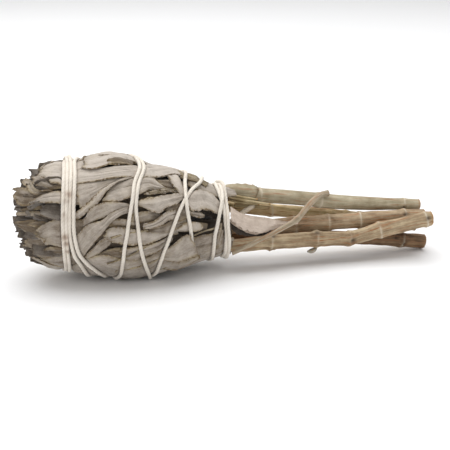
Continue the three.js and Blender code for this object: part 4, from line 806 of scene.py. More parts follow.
back_leaves = leaf_piece("back_leaves", LEAF_MATERIAL, range(BACK_LEAVES + BACK_TIP_LEAVES), add_from_behind)

# The brush of leaf tips at the free end: small dried leaves seen edge on, packed round each other.
# Their tips are broken off at different lengths, and their roots are tied in the left band.
BRUSH_LEAVES = 44
BRUSH_WIDTHS = ([0, 1 / 3, 2 / 3, 1], [1, 1, 0.92, 0.4])
BRUSH_ROOT_U = 17
BRUSH_ROOT_RHO = 20
BRUSH_TIP_RHO = 18.2
BRUSH_MIDDLE_U = 8


def add_brush_leaf(bm, layers, i):
    """Leaf i of the brush. share says how far out it stands: 0 in the middle, 1 at the outside."""
    share = math.sqrt((i + 0.5) / BRUSH_LEAVES) * 0.92
    phi = TURN_BETWEEN_LEAVES * i
    half, roll, bow = spread(i, 12, 2.2, 4.4), spread(i, 13, -2.6, 2.6), spread(i, 14, -14, 14)
    tip_u = -1.4 + 11.5 * share ** 4.3 + spread(i, 15, 0, 2.6)
    sag = share * sag_at(BRUSH_MIDDLE_U, phi)
    made = bmesh.ops.create_grid(bm, x_segments=22, y_segments=12, size=1)["verts"]
    tone = spread(i, 26, -0.1, 0.35) + 0.25 * share + 0.5 * max(0, 0.75 - share)
    for vert in made:
        t, c = (vert.co.x + 1) / 2, vert.co.y
        width = between(t, BRUSH_WIDTHS) + 0.14 * t * wander(t * 6, c, i + 130)
        width = max(width, 0.5) if t > 0.7 else width
        torn = 1.1 * wander(c * 1.3, 3, i + 140) + 0.8 * round(2 * wander(c * 2.2, 3, i + 150)) / 2
        u = mix(BRUSH_ROOT_U, tip_u, t) - torn * max(0, t - 0.6) / 0.4
        out = share * mix(BRUSH_ROOT_RHO, BRUSH_TIP_RHO, t) + roll * c * width
        out += spread(i, 31, 0.2, 1.6) * (1 - c * c)
        out += 0.9 * math.sin(3.2 * c + i) * (0.3 + t) + 0.4 * wander(c * 3, t * 3, i + 160)
        across = c * half * width * (1 - 0.25 * abs(c))
        angle = math.radians(phi + bow * t * t)
        vert.co = place(u, -out * math.cos(angle) - across * math.sin(angle),
                        out * math.sin(angle) - across * math.cos(angle) - sag)
        vert[layers["tone"]] = tone
        vert[layers["margin"]] = max(max(0.0, (abs(c) - 0.8) / 0.2), max(0.0, (t - 0.93) / 0.07))
        vert[layers["grain"]] = Vector((across, t * 2, i * 3.7))
        vert[layers["station"]] = Vector((u, phi, out))
    face_outwards(bm, made, place_round(9, phi, 20) - place_round(9, phi, 0))


# A darker copy of the leaf colours: painted shade between the tips packed round each other.
BRUSH_SHADE_MATERIAL = dried_leaf_material("brush_leaf", (0.281, 0.246, 0.207, 1), (0.066, 0.048, 0.033, 1),
                                     (0.05, 0.03, 0.018, 1), warm=(0.17, 0.13, 0.085, 1))
brush_leaves = leaf_piece("brush_leaves", BRUSH_SHADE_MATERIAL, range(BRUSH_LEAVES), add_brush_leaf)

# Stem A, on top and to the back: a smooth grey-olive sage stem with three faint rings.
# It was cut across with a knife, has a dark bud scar by its browned end, and is held in the head.
# The stems' rows hold u, v, w and the radius. Inside the head a stem draws in and thins out.
STEM_INNER_U = 32
STEM_SKIN_U = 70
JOINT_BULGE = 0.4
JOINT_WIDTH = 1.1
RING_WIDTH = 0.34
CUT_END = [(0.12, 0.9), (0.1, 0.62), (-0.1, 0.35), (-0.35, 0.0)]


def smooth_along(rows, u):
    """The row of a stem at u, on a smooth curve through the given rows."""
    i = 0
    while i < len(rows) - 2 and u > rows[i + 1][0]:
        i += 1
    step = rows[i + 1][0] - rows[i][0]
    s = max(0.0, min(1.0, (u - rows[i][0]) / step))
    values = []
    for k in range(1, 4):
        b, c = rows[i][k], rows[i + 1][k]
        slope_in = slope_out = (c - b) / step
        if i > 0:
            slope_in = (c - rows[i - 1][k]) / (rows[i + 1][0] - rows[i - 1][0])
        if i + 2 < len(rows):
            slope_out = (rows[i + 2][k] - b) / (rows[i + 2][0] - rows[i][0])
        values.append(curve_between(b, c, slope_in * step, slope_out * step, s))
    return values


def bark_material(name, pale, dark, end_colour, streak=1.0):
    """Bark with ridges along the stem, pale node rings, dark scars and a browned cut end."""
    material, tree, surface = new_material(name, 0.7, 0.35)
    spot, grain = on_object(tree), carried(tree, "grain", "Vector")
    broad = noise_at(tree, grain, 0.45, 3.0, 0.55)
    fine = noise_at(tree, grain, 2.4, 4.0, 0.7)
    patches = noise_at(tree, spot, 180.0, 3.0, 0.6)
    amount = mottled(tree, 0.5, ((broad, 2.6 * streak), (fine, 1.5 * streak), (patches, 1.5)))
    colour = blend_colours(tree, amount, dark, pale)
    reddened = past(tree, noise_at(tree, grain, 0.9), 0.52, 9.0, clamp=False)
    worn = calculate(tree, "ADD", past(tree, patches, 0.40, 4.0), 0.12)
    for layer, strength, stain in ((reddened, streak * 0.7, (0.30, 0.135, 0.055, 1)),
                                   (carried(tree, "ring"), worn, (0.64, 0.565, 0.44, 1)),
                                   (carried(tree, "scar"), 0.9, (0.045, 0.026, 0.016, 1)),
                                   (carried(tree, "cut"), 0.85, end_colour)):
        colour = blend_colours(tree, times(tree, layer, strength, clamp=True), colour, stain)
    height = calculate(tree, "ADD", fine, times(tree, broad, 0.8))
    height = calculate(tree, "ADD", height, times(tree, noise_at(tree, spot, 3500.0, 2.0), 0.25))
    colour_and_bump(tree, surface, colour, height, 0.7, 0.00025)
    return material


def new_stem():
    bm = bmesh.new()
    layers = {name: bm.verts.layers.float.new(name) for name in ("scar", "ring", "cut")}
    layers["grain"] = bm.verts.layers.float_vector.new("grain")
    return bm, layers


def stem_frame(rows, u):
    """The front and upper directions of a stem at u, both square to it."""
    v2, w2, _ = smooth_along(rows, u + 0.5)
    v1, w1, _ = smooth_along(rows, u - 0.5)
    tangent = (place(u + 0.5, v2, w2) - place(u - 0.5, v1, w1)).normalized()
    front = Vector((0, -1, 0))
    front = (front - tangent * front.dot(tangent)).normalized()
    return front, tangent.cross(front)


def add_stem(bm, layers, rows, u_start, u_end, seed, joints=(), scars=(), around=36, step=0.45, ridges=0.09,
             bulge=JOINT_BULGE, inner_u=None):
    """A stem as a sheet rolled round its rows, closed at both ends. A scar is (u, turn, length, width)."""
    skin = int((u_end - u_start) / step)
    inner = 14 if inner_u is not None else 0
    stations = [(mix(inner_u, u_start, k / inner), 1.0) for k in range(inner)]
    stations += [(mix(u_start, u_end, k / skin), 1.0) for k in range(skin + 1)]
    stations = [(stations[0][0], 0.0)] + stations + [(u_end + past_end, share) for past_end, share in CUT_END]
    last = len(stations) - 1
    made = bmesh.ops.create_grid(bm, x_segments=last, y_segments=around, size=1)["verts"]
    for vert in made:
        u, share = stations[round((vert.co.x + 1) / 2 * last)]
        turn = math.pi * vert.co.y
        cos, sin = math.cos(turn), math.sin(turn)
        v, w, radius = smooth_along(rows, u)
        knob = ring = scar = dent = 0
        for joint in joints:
            off = u - joint - 0.35 * math.sin(turn + joint)
            knob += bulge * math.exp(-(off / JOINT_WIDTH) ** 2)
            ring = max(ring, math.exp(-((off - 0.2) / RING_WIDTH) ** 2))
        for scar_u, scar_turn, scar_length, scar_width in scars:
            gap = (math.degrees(turn) - scar_turn + 180) % 360 - 180
            near = ((u - scar_u) / scar_length) ** 2 + (math.radians(gap) * radius / scar_width) ** 2
            if near < 4:
                scar = max(scar, math.exp(-near * 1.5))
                dent += 0.45 * math.exp(-near * 2.5) - 0.30 * math.exp(-(near - 1.6) ** 2)
        ridge = ridges * noise.noise(Vector((cos * radius * 1.3, sin * radius * 1.3, u * 0.10 + seed * 5)))
        ridge += ridges * noise.noise(Vector((cos * radius * 3.0, sin * radius * 3.0, u * 0.22 + seed * 9)))
        flat = 1 + 0.05 * math.cos(2 * turn + seed)
        full = (radius * flat + knob + ridge * 2 - dent) * share
        front, up = stem_frame(rows, u)
        vert.co = place(u, v, w) + (front * cos - up * sin) * full * 0.001
        vert[layers["scar"]] = scar
        vert[layers["ring"]] = ring if share == 1 else 0
        vert[layers["cut"]] = max(0.0, min(1.0, (u - u_end + 1.0) / 0.9)) if share == 1 else 1.0
        vert[layers["grain"]] = Vector((cos * radius * 1.6, sin * radius * 1.6, u * 0.12 + seed * 11))
    bmesh.ops.remove_doubles(bm, verts=made, dist=0.000008)
    bmesh.ops.recalc_face_normals(bm, faces=bm.faces)


def stem_piece(name, node_name, slot, bark, rows, u_start, u_end, seed, **form):
    bm, layers = new_stem()
    add_stem(bm, layers, rows, u_start, u_end, seed, **form)
    return finish_piece(bm, name, bark_material(*bark), [node_name])


def main_stem(name, node_name, slot, bark, rows, u_end, seed, **form):
    """A stem that runs on inside the head, by three rows more."""
    u, v, w, radius = rows[0]
    hidden = [[STEM_INNER_U, v * 0.6, w * 0.6, radius * 0.42],
              [STEM_INNER_U + 18, v * 0.8, w * 0.8, radius * 0.7],
              [u - 9, v * 0.97, w * 0.97, radius * 0.93]]
    return stem_piece(name, node_name, slot, bark, hidden + rows, STEM_SKIN_U, u_end, seed,
                      inner_u=STEM_INNER_U, **form)


stem_a = main_stem(
    "stem_a_bark", "stem_a", "stem_grey_olive",
    ("grey_olive_bark", (0.554, 0.491, 0.353, 1), (0.252, 0.206, 0.122, 1), (0.36, 0.20, 0.10, 1), 0.6),
    [[77.4, 5, 8.7, 2.5], [91.7, 5, 9, 2.8], [106.1, 5, 8.9, 2.8], [121.4, 5, 8.3, 2.8],
     [135.8, 5, 8.4, 2.6], [149.4, 5.1, 9, 2.2], [156.6, 5.1, 9.2, 2.05]],
    156.3, 1, joints=(90.6, 114.5, 149.6), scars=((149.3, -22, 1.0, 0.9),), ridges=0.035, bulge=0.3)

# Stem B, behind the others: an olive-brown sage stem, nearly straight, with low joints.
# It was cut across with a knife and is held in the head like stem A.
# Its bark colours are painted paler than its own: painted light where it lies in the shade of stem A.
stem_b = main_stem(
    "stem_b_bark", "stem_b", "stem_olive_brown",
    ("olive_brown_bark_painted_light", (0.907, 0.734, 0.443, 1), (0.432, 0.324, 0.162, 1), (0.30, 0.185, 0.10, 1)),
    [[79.7, 8, 3.1, 2.1], [94.5, 8, 2.7, 2.3], [108.7, 8, 2.5, 2.3], [121.2, 8, 2.2, 2.3],
     [142.4, 8, 0.9, 2.3], [157.8, 8, -0.1, 2.3]],
    157.5, 2, joints=(96.5, 128), scars=((122, 10, 1.0, 0.8),), ridges=0.05, bulge=0.3)

# Stem C, in the middle: a brown sage stem with pale rings and a bark worn in streaks.
# It rises through the bunch, and its cut end shows between A and D.
stem_c = main_stem(
    "stem_c_bark", "stem_c", "stem_brown",
    ("brown_bark", (0.51, 0.391, 0.255, 1), (0.173, 0.109, 0.056, 1), (0.33, 0.20, 0.10, 1)),
    [[79, -0.8, -2.5, 2.3], [86.9, -0.8, -2.2, 2.5], [96.6, -0.8, -1.2, 2.7], [105.6, -0.8, 0.1, 2.8],
     [117.6, -0.8, 1.4, 2.85], [130, -0.8, 3.1, 2.95], [145.5, -0.7, 4.9, 2.85], [156.8, -0.6, 5.9, 2.75]],
    156.5, 3, joints=(104.2, 117.6, 130, 148.5), ridges=0.10,
    scars=((99.3, 10, 1.2, 1.0), (105, 65, 0.8, 0.8), (112, -50, 0.9, 0.7), (148, 35, 1.1, 0.9)))

# Stem D, in front: a tan sage stem with ridged bark and a swollen knee where it bends up.
# Its cut end has an orange rim, and it is held in the head under the neck's leaves.
stem_d = main_stem(
    "stem_d_bark", "stem_d", "stem_tan",
    ("tan_bark", (0.558, 0.446, 0.288, 1), (0.225, 0.149, 0.081, 1), (0.42, 0.23, 0.09, 1)),
    [[79.1, -6.6, -8.1, 2.25], [91.7, -6.8, -6.1, 2.6], [101.4, -6.8, -5, 2.75], [111.6, -6.8, -3.8, 2.85],
     [120.3, -6.8, -3.1, 2.7], [124.8, -6.8, -2.8, 2.65], [130.6, -6.8, -1, 2.65], [136.4, -6.9, 1.2, 2.9],
     [143.5, -7, 3.2, 2.95], [153.2, -7, 6.1, 2.8], [157.2, -7, 7, 2.7]],
    156.9, 4, joints=(93.8, 111.6, 124.8, 136.4, 154.4), ridges=0.13,
    scars=((94.5, 62, 1.3, 0.9), (94.2, -62, 0.9, 0.9), (111.5, 65, 1.5, 0.9), (125.5, -5, 1.3, 1.1),
           (154.8, 25, 1.0, 0.8)))

# Stem E, at the bottom and back: a dark brown, ridged sage stem, the lowest of the bunch.
# It was cut across with a knife, and its end comes nearest to the paper.
stem_e = main_stem(
    "stem_e_bark", "stem_e", "stem_dark_brown",
    ("dark_brown_bark", (0.31, 0.198, 0.107, 1), (0.095, 0.052, 0.026, 1), (0.30, 0.18, 0.10, 1)),
    [[82.3, 2.2, -7.5, 2.3], [108.1, 2, -5.8, 2.5], [124.4, 2, -5.2, 2.6], [140.6, 2, -4.8, 2.7],
     [149.8, 2, -4.8, 2.85], [159.8, 2, -5, 2.9]],
    159.5, 5, joints=(118, 150), scars=((146.5, 30, 1.2, 0.9), (150.5, -20, 1.0, 0.8)), ridges=0.13,
    bulge=0.25)

# The old leaf sheath round the top of stem A by the neck: a dry skin that grew with the stem.
# Its far edge is torn and dark.
stem_sheath = stem_piece(
    "stem_sheath", "stem_a", "stem_grey_olive",
    ("sheath_bark", (0.54, 0.48, 0.34, 1), (0.27, 0.22, 0.135, 1), (0.20, 0.14, 0.07, 1)),
    [[76, 5, 9.4, 2.7], [80, 5, 9.9, 3], [85, 4.9, 10, 3.1], [88.2, 5, 9.9, 3], [89, 5, 9.6, 2.8]],
    76, 88.8, 6, scars=((88.4, 90, 0.7, 2.0), (83, 95, 1.6, 0.35)), ridges=0.10)

# A broken side twig of stem B by the neck: pale dry wood that still sits on its stem, painted paler still as
# painted light where it lies in shade.
# Its free end snapped off short.
stem_piece(
    "stub_twig", "stem_b", "stem_olive_brown",
    ("stub_bark_painted_light", (0.93, 0.84, 0.69, 1), (0.60, 0.50, 0.37, 1), (0.33, 0.26, 0.17, 1)),
    [[82.2, 1.2, 1.4, 0.8], [85.3, 1.9, 3.7, 0.95], [88.3, 2.4, 5.9, 1.05]],
    82.6, 88.2, 7, around=16, step=0.3, ridges=0.05)

# Straw-coloured strips of an old leaf stalk that cling to the lower side of stem A.
# They are thin dry skin, split lengthwise.
strip_bm, strip_layers = new_stem()
for strip_rows in ([[76, 1.5, 9.8, 0.5], [80, 1.3, 9.2, 0.5], [84, 1.2, 8.7, 0.45], [89, 1.7, 8.2, 0.35]],
                   [[76.5, 1.3, 8.6, 0.5], [82, 1.1, 7.9, 0.55], [88, 1.3, 7.2, 0.5], [94.3, 1.9, 6.7, 0.4]],
                   [[77, 1.4, 7.4, 0.4], [83, 1.4, 6.7, 0.45], [90, 1.8, 6.2, 0.3]]):
    add_stem(strip_bm, strip_layers, strip_rows, strip_rows[0][0], strip_rows[-1][0], 21, around=12,
             step=0.35, ridges=0.06)
STRAW_SKIN = bark_material("straw_skin", (0.80, 0.67, 0.42, 1), (0.34, 0.26, 0.13, 1), (0.42, 0.22, 0.08, 1))
finish_piece(strip_bm, "stalk_strips", STRAW_SKIN, ["stem_a"])

# The dry leaf bud that hangs under the second ring of stem D.
# It is a small grey-green bud that dried on the stem and stayed on.
stem_piece(
    "leaf_bud", "stem_d", "stem_tan",
    ("bud_skin", (0.46, 0.45, 0.37, 1), (0.22, 0.20, 0.15, 1), (0.25, 0.2, 0.14, 1)),
    [[108.7, -7.3, -8.7, 0.3], [110.0, -7.3, -8.5, 0.75], [111.2, -7.2, -8.0, 0.8], [112.2, -7, -7.2, 0.45]],
    108.7, 112.2, 22, around=14, step=0.25, ridges=0.08)

# The thin twig: smooth dry wood, tied in at the bottom of the neck.
# It crosses the stems in front, bends at a knee and ends over stem A.
thin_twig = stem_piece(
    "thin_twig_bark", "thin_twig", "twig",
    ("twig_bark", (0.50, 0.43, 0.32, 1), (0.25, 0.195, 0.125, 1), (0.26, 0.18, 0.10, 1)),
    [[78.3, -11.2, -9.6, 0.8], [82.9, -11.6, -6.9, 0.85], [88.9, -12.2, -3.2, 0.85], [95.3, -12.2, 0.9, 0.9],
     [101.6, -11.1, 4.9, 1.0], [105.3, -7.8, 7.9, 1.05], [109.4, -3.6, 10.4, 1.1], [113.6, 0.2, 11.9, 1.1],
     [117, 2.8, 12.0, 1.25]],
    78.3, 117, 8, joints=(101.6,), around=18, step=0.3, ridges=0.035, bulge=0.12)

# The thin leaf stalk between stems A and B: straw-coloured and dry, seen only in part.
# It is tied in at the neck like the stems.
stem_piece(
    "thin_stalk_bark", "thin_stalk", "stalk",
    ("stalk_skin", (0.50, 0.40, 0.22, 1), (0.28, 0.21, 0.11, 1), (0.22, 0.14, 0.07, 1)),
    [[80.6, 2.4, 5.4, 0.6], [84.7, 2.4, 5.3, 0.6], [90, 2.6, 5.1, 0.6], [94.5, 3, 4.9, 0.5]],
    80.6, 94.5, 9, around=14, step=0.3, ridges=0.03)

# The stray leaf: one pinkish dried leaf that came loose at the neck, folded lengthwise over the stems.
# Its lower edge is torn and browned. Under the fold its torn underlayer is darkened, and a near-black sheet
# behind it is painted shade of the hollow there.
# Its lines hold u, v and w: both edges of the blade, the torn underlayer and the hollow's far edge.
STRAY_UPPER = [[75.6, -11, 8.2], [79, -11.5, 6.4], [83.2, -11.2, 5.3], [90.4, -10.4, 4.5], [97, -9.5, 3.4],
               [103, -8.6, 3.3]]
STRAY_LOWER = [[75.6, -12.6, 3.6], [77.8, -12.5, 1.6], [82.4, -11.9, -0.4], [88.2, -10.9, -1.6],
               [95, -9.7, 0.6], [103, -8.5, 2.3]]
STRAY_TORN = [[75.6, -11.4, 2.6], [79, -11.3, 0.4], [82.4, -10.8, -1.2], [86.5, -10.2, -2.3],
              [90, -9.7, -1.5], [92.5, -9.6, -0.4]]
STRAY_HOLLOW = [[75.6, -10.6, 1.4], [79, -10.2, -2.2], [83, -9.9, -3.0], [87, -9.6, -3.1], [90, -9.4, -2.4],
                [92.5, -9.5, -0.8]]
STRAY_THICKNESS = 0.0004


def add_stray_sheet(bm, layers, upper, lower, seed, tone, deep):
    """One sheet of the stray leaf between two lines, bowed out to the front and torn at its lower edge."""
    made = bmesh.ops.create_grid(bm, x_segments=72, y_segments=22, size=1)["verts"]
    for vert in made:
        t, c = (vert.co.x + 1) / 2, (vert.co.y + 1) / 2
        tatter = 0.11 * wander(t * 11, 2, seed + 1) + 0.08 * round(3 * wander(t * 26, 2, seed + 2)) / 3
        if c <= 0.5:
            tatter = 0.03 * wander(t * 9, 3, seed + 3)
        elif t >= 0.93:
            tatter = 0
        across = c * (1 + tatter)
        u, v, w = along_edge(upper, t).lerp(along_edge(lower, t), across)
        fold = 0.9 * deep * math.sin(math.pi * c) * (1 - t ** 6)
        ripple = 0.22 * wander(c * 4, t * 3, seed + 4) + 0.12 * wander(c * 9, t * 6, seed + 5)
        ripple += 0.5 * max(0, c - 0.8) / 0.2 * wander(t * 8, 1, seed + 6)
        vert.co = place(u, v - fold - ripple * deep, w)
        # Painted light: the tone is lighter where the ripples bulge to the front. It also darkens towards the
        # upper line.
        vert[layers["tone"]] = tone - 0.25 * (1 - c) * deep + 0.5 * ripple
        vert[layers["margin"]] = max(max(0.0, (c - 0.88) / 0.12), max(0.0, (0.05 - c) / 0.05) * 0.6)
        vert[layers["grain"]] = Vector((c * 5, t * 3, seed))
    face_outwards(bm, made, Vector((0, -1, 0)))


def behind(line, back):
    """A line moved back and 1 mm up, where a second sheet starts."""
    return [[u, v + back, w + 1] for u, v, w in line]


STRAY_MATERIAL = dried_leaf_material("stray_leaf_skin", (0.76, 0.645, 0.55, 1), (0.40, 0.305, 0.23, 1),
                                     (0.10, 0.06, 0.03, 1), 2.4, warm=(0.52, 0.40, 0.29, 1))
stray_bm, stray_layers = new_leaves()
add_stray_sheet(stray_bm, stray_layers, STRAY_UPPER, STRAY_LOWER, 200, 0.75, 1)
# The torn underlayer has a low tone: painted shade under the fold.
add_stray_sheet(stray_bm, stray_layers, behind(STRAY_TORN, 0.9), STRAY_TORN, 230, 0.35, 0.4)
stray_blade = finish_piece(stray_bm, "stray_leaf_blade", STRAY_MATERIAL, ["stray_leaf"],
                           STRAY_THICKNESS)
# A near-black sheet behind the underlayer: painted shade of the hollow under the fold.
hollow_bm, hollow_layers = new_leaves()
add_stray_sheet(hollow_bm, hollow_layers, behind(STRAY_TORN, 1.3), STRAY_HOLLOW, 260, 0.1, 0.2)
finish_piece(hollow_bm, "stray_leaf_hollow_shade", INNER_SHADE_MATERIAL, ["stray_leaf"], STRAY_THICKNESS)

# Two of the front leaves, held open while the thread is wound, so that it goes down under them.
# They are the same dried sage, and the strand under them holds them up by the right band.
leaf_over_thread = middle_leaves("leaf_over_thread", LEAF_MATERIAL, OVER_THREAD, cell=0.5, lift=1.1)

# The cotton thread: one undyed three-ply strand, wound tight from the neck to the tips and back.
# It presses into the leaves, lies on its earlier turns and is knotted at the back of the right band.
# Its keys hold phi and u. Phi falls all the way, by 360 a turn.
THREAD_RADIUS = 0.7
THREAD_SAMPLE_DEG = 6
THREAD_SPACING = 1.2
THREAD_BITE = 1.0
THREAD_CLEARANCE = 0.3
THREAD_LOWEST_Z = 1.1
THREAD_KEYS = [
    [196, 73.6], [80, 71.5], [50, 72.2], [38, 72.7], [32, 73], [13, 73.8], [-2, 74.6], [-20, 75], [-45, 76],
    [-62, 76.4], [-90, 76.2], [-180, 75], [-280, 73.2], [-310, 72.4], [-322, 71.9], [-329, 71.2],
    [-347, 70.7], [-363, 69.7], [-395, 70.8], [-422, 72], [-450, 71.4], [-540, 69], [-620, 67],
    [-648, 64.8], [-662, 61.3], [-678, 58.3], [-689, 56], [-704, 54], [-716, 52.8], [-731, 51.4],
    [-749, 50.3], [-775, 50.2], [-810, 46], [-900, 31], [-985, 15], [-1030, 14], [-1054, 13.8], [-1074, 14],
    [-1094, 14.8], [-1118, 16.2], [-1143, 18], [-1180, 18.3], [-1260, 15.6], [-1345, 16.2], [-1390, 15.2],
    [-1413, 15], [-1433, 15.1], [-1454, 16], [-1477, 17.5], [-1505, 19.4], [-1540, 19.7], [-1620, 17.2],
    [-1705, 17.5], [-1750, 16.5], [-1773, 16.2], [-1793, 16.3], [-1814, 17.2], [-1834, 19.5], [-1848, 22.8],
    [-1872, 26.8], [-1890, 29.3], [-1980, 38], [-2084, 41.6], [-2100, 40.6], [-2111, 38.3], [-2130, 37.6],
    [-2145, 36.7], [-2160, 36.3], [-2177, 36], [-2218, 37.3], [-2250, 35], [-2340, 27], [-2425, 18.8],
    [-2470, 17.8], [-2493, 17.5], [-2513, 17.6], [-2533, 18.6], [-2552, 21.2], [-2566, 25.8], [-2582, 31.5],
    [-2610, 35.5], [-2700, 41], [-2804, 43.2], [-2820, 42], [-2831, 39.9], [-2848, 38.9], [-2857, 38.6],
    [-2870, 39.8], [-2880, 40.3], [-2894, 41.8], [-2910, 44.2], [-2932, 47.5], [-2970, 52], [-3060, 58.6],
    [-3153, 59.8], [-3177, 58], [-3204, 57.2], [-3214, 58], [-3229, 59.2], [-3240, 60.3], [-3270, 62.5],
    [-3330, 68], [-3420, 73], [-3512, 74.2], [-3560, 74.2], [-3590, 74.6], [-3640, 77.2], [-3690, 77.6],
    [-3764, 75.2]]


def surface_tree(pieces):
    """A search tree over the outsides of several pieces."""
    points, faces = [], []
    for piece in pieces:
        start = len(points)
        points += [vert.co.copy() for vert in piece.data.vertices]
        faces += [[start + k for k in face.vertices] for face in piece.data.polygons]
    return BVHTree.FromPolygons(points, faces)


OUTSIDE_RHO = 40


def surface_rho(tree, u, phi, width=THREAD_RADIUS):
    """The radius at which a strand meets a surface, over its own width, found from outside inwards."""
    best = 0
    for side in (-1, -0.5, 0, 0.5, 1):
        start = place_round(u + side * width, phi, OUTSIDE_RHO)
        hit = tree.ray_cast(start, (place_round(u + side * width, phi, 0) - start).normalized())
        if hit[0] is not None:
            best = max(best, OUTSIDE_RHO - hit[3] * 1000)
    return best


leaf_pieces = [leaf_core, front_leaves, golden_leaves, tip_leaves, under_leaves, back_leaves, brush_leaves]
hard_pieces = [stem_a, stem_b, stem_c, stem_d, stem_e, stem_sheath, thin_twig, stray_blade]
leaf_tree, hard_tree = surface_tree(leaf_pieces), surface_tree(hard_pieces)


def rest_rho(u, phi):
    pressed = surface_rho(leaf_tree, u, phi) - THREAD_BITE
    return max(pressed, surface_rho(hard_tree, u, phi)) + THREAD_RADIUS + THREAD_CLEARANCE


NO_LIMIT = 99


def lowest_rho(u, phi):
    """The greatest radius that keeps the strand clear of the surface that the bundle lies on."""
    height = place_round(u, phi, 0).z * 1000
    fall = (place_round(u, phi, 0).z - place_round(u, phi, 1).z) * 1000
    return (height - THREAD_LOWEST_Z) / fall if fall > 0.05 else NO_LIMIT


thread_phis = []
phi = THREAD_KEYS[0][0]
while phi >= THREAD_KEYS[-1][0]:
    thread_phis.append(phi)
    phi -= THREAD_SAMPLE_DEG
key_table = ([-key[0] for key in THREAD_KEYS], [key[1] for key in THREAD_KEYS])
thread_us = [between(-phi, key_table) for phi in thread_phis]
last = len(thread_us) - 1
for _ in range(2):
    thread_us = [(thread_us[max(i - 1, 0)] + 2 * u + thread_us[min(i + 1, last)]) / 4
                 for i, u in enumerate(thread_us)]

TUCKED_FROM = -3279
TUCKED_TO = -3338
TUCK_DEPTH = 2.2


def is_tucked(phi):
    """Whether the strand goes under the kite-shaped leaf there."""
    return TUCKED_TO < phi < TUCKED_FROM


# The strand is drawn tight: a point between two others falls to the straight line between them,
# but no deeper than the leaves and stems let it, and it rests on the turns wound before it.
TIGHTENINGS = 90
PER_TURN = 360 // THREAD_SAMPLE_DEG
bare = [rest_rho(u, phi) - (TUCK_DEPTH if is_tucked(phi) else 0) for u, phi in zip(thread_us, thread_phis)]
caps = [lowest_rho(u, phi) for u, phi in zip(thread_us, thread_phis)]
straight = math.cos(math.radians(THREAD_SAMPLE_DEG))
thread_rhos = list(bare)
for _ in range(TIGHTENINGS):
    eased = []
    for i in range(last + 1):
        low = max(bare[i], (thread_rhos[max(i - 1, 0)] + thread_rhos[min(i + 1, last)]) / 2 * straight)
        for j in range(i - PER_TURN, -1, -PER_TURN):
            gap = abs(thread_us[i] - thread_us[j])
            if gap < THREAD_SPACING:
                low = max(low, thread_rhos[j] + math.sqrt(THREAD_SPACING ** 2 - gap ** 2))
        eased.append(min(low, max(caps[i], 0)))
    thread_rhos = eased


PRESS_REACH = 4
PRESS_DEPTH = 0.85
PRESS_RISE = 0.5
PRESS_ROUNDING = 0.06


def press_leaves(piece):
    """Lets the strand sink into the leaves that it crosses, in a soft round groove."""
    stations = piece.data.attributes["station"].data
    for vert in piece.data.vertices:
        u, phi, rho = stations[vert.index].vector
        at = ((THREAD_KEYS[0][0] - phi) / THREAD_SAMPLE_DEG) % PER_TURN
        first, part = int(at), at - int(at)
        push = 0
        for j in range(first, last, PER_TURN):
            if is_tucked(thread_phis[j]):
                continue
            strand_u = mix(thread_us[j], thread_us[j + 1], part)
            gap = u - strand_u
            if abs(gap) < PRESS_REACH:
                strand_rho = mix(thread_rhos[j], thread_rhos[j + 1], part)
                slope = (thread_us[j + 1] - thread_us[j]) / (math.radians(THREAD_SAMPLE_DEG) * strand_rho)
                gap /= math.sqrt(1 + slope * slope)
                over = rho - (strand_rho - PRESS_DEPTH + PRESS_RISE * gap * gap)
                push = max(push, 0.46 * (over + math.sqrt(over * over + PRESS_ROUNDING)))
        if push > 0.01:
            vert.co += place_round(u, phi, rho - push) - place_round(u, phi, rho)
            vert.co.z = max(vert.co.z, 0)


for piece in leaf_pieces:
    press_leaves(piece)
    piece.data.update()


def cotton_material():
    """Undyed twisted cotton, a little soiled, and stained brown where its layer says so."""
    material, tree, surface = new_material("cotton_thread_fibre", 0.92, 0.15)
    spot = on_object(tree)
    fibres = noise_at(tree, carried(tree, "grain", "Vector"), 3.0, 4.0, 0.75)
    fuzz = noise_at(tree, spot, 5200.0, 3.0, 0.7)
    soiled = past(tree, noise_at(tree, spot, 170.0, 3.0, 0.6), 0.52, 1.6)
    stained = times(tree, carried(tree, "stain"), calculate(tree, "ADD", fuzz, 0.35), clamp=True)
    colour = blend_colours(tree, fibres, (0.82, 0.74, 0.635, 1), (0.965, 0.905, 0.81, 1))
    # The grooves between the plies are darkened: painted shade.
    for amount, shade in ((times(tree, carried(tree, "groove"), 0.2, clamp=True), (0.5, 0.42, 0.33, 1)),
                          (soiled, (0.55, 0.45, 0.35, 1)),
                          (stained, (0.33, 0.20, 0.12, 1))):
        colour = blend_colours(tree, amount, colour, shade)
    height = calculate(tree, "ADD", fibres, times(tree, fuzz, 0.7))
    colour_and_bump(tree, surface, colour, height, 0.6, 0.00012)
    surface.inputs["Sheen Weight"].default_value = 0.3
    surface.inputs["Sheen Roughness"].default_value = 0.5
    return material


PLY_PITCH = 4.2
THREAD_STEP = 0.00042


def even_path(points):
    """Points at even steps on a smooth curve through the given points."""
    fine = [on_curve(points, i / 8) for i in range((len(points) - 1) * 8 + 1)]
    spaced, run = [fine[0]], 0
    for a, b in zip(fine, fine[1:]):
        gap = (b - a).length
        while run + gap >= THREAD_STEP:
            a = a + (b - a) * ((THREAD_STEP - run) / gap)
            spaced.append(a)
            gap = (b - a).length
            run = 0
        run += gap
    return spaced


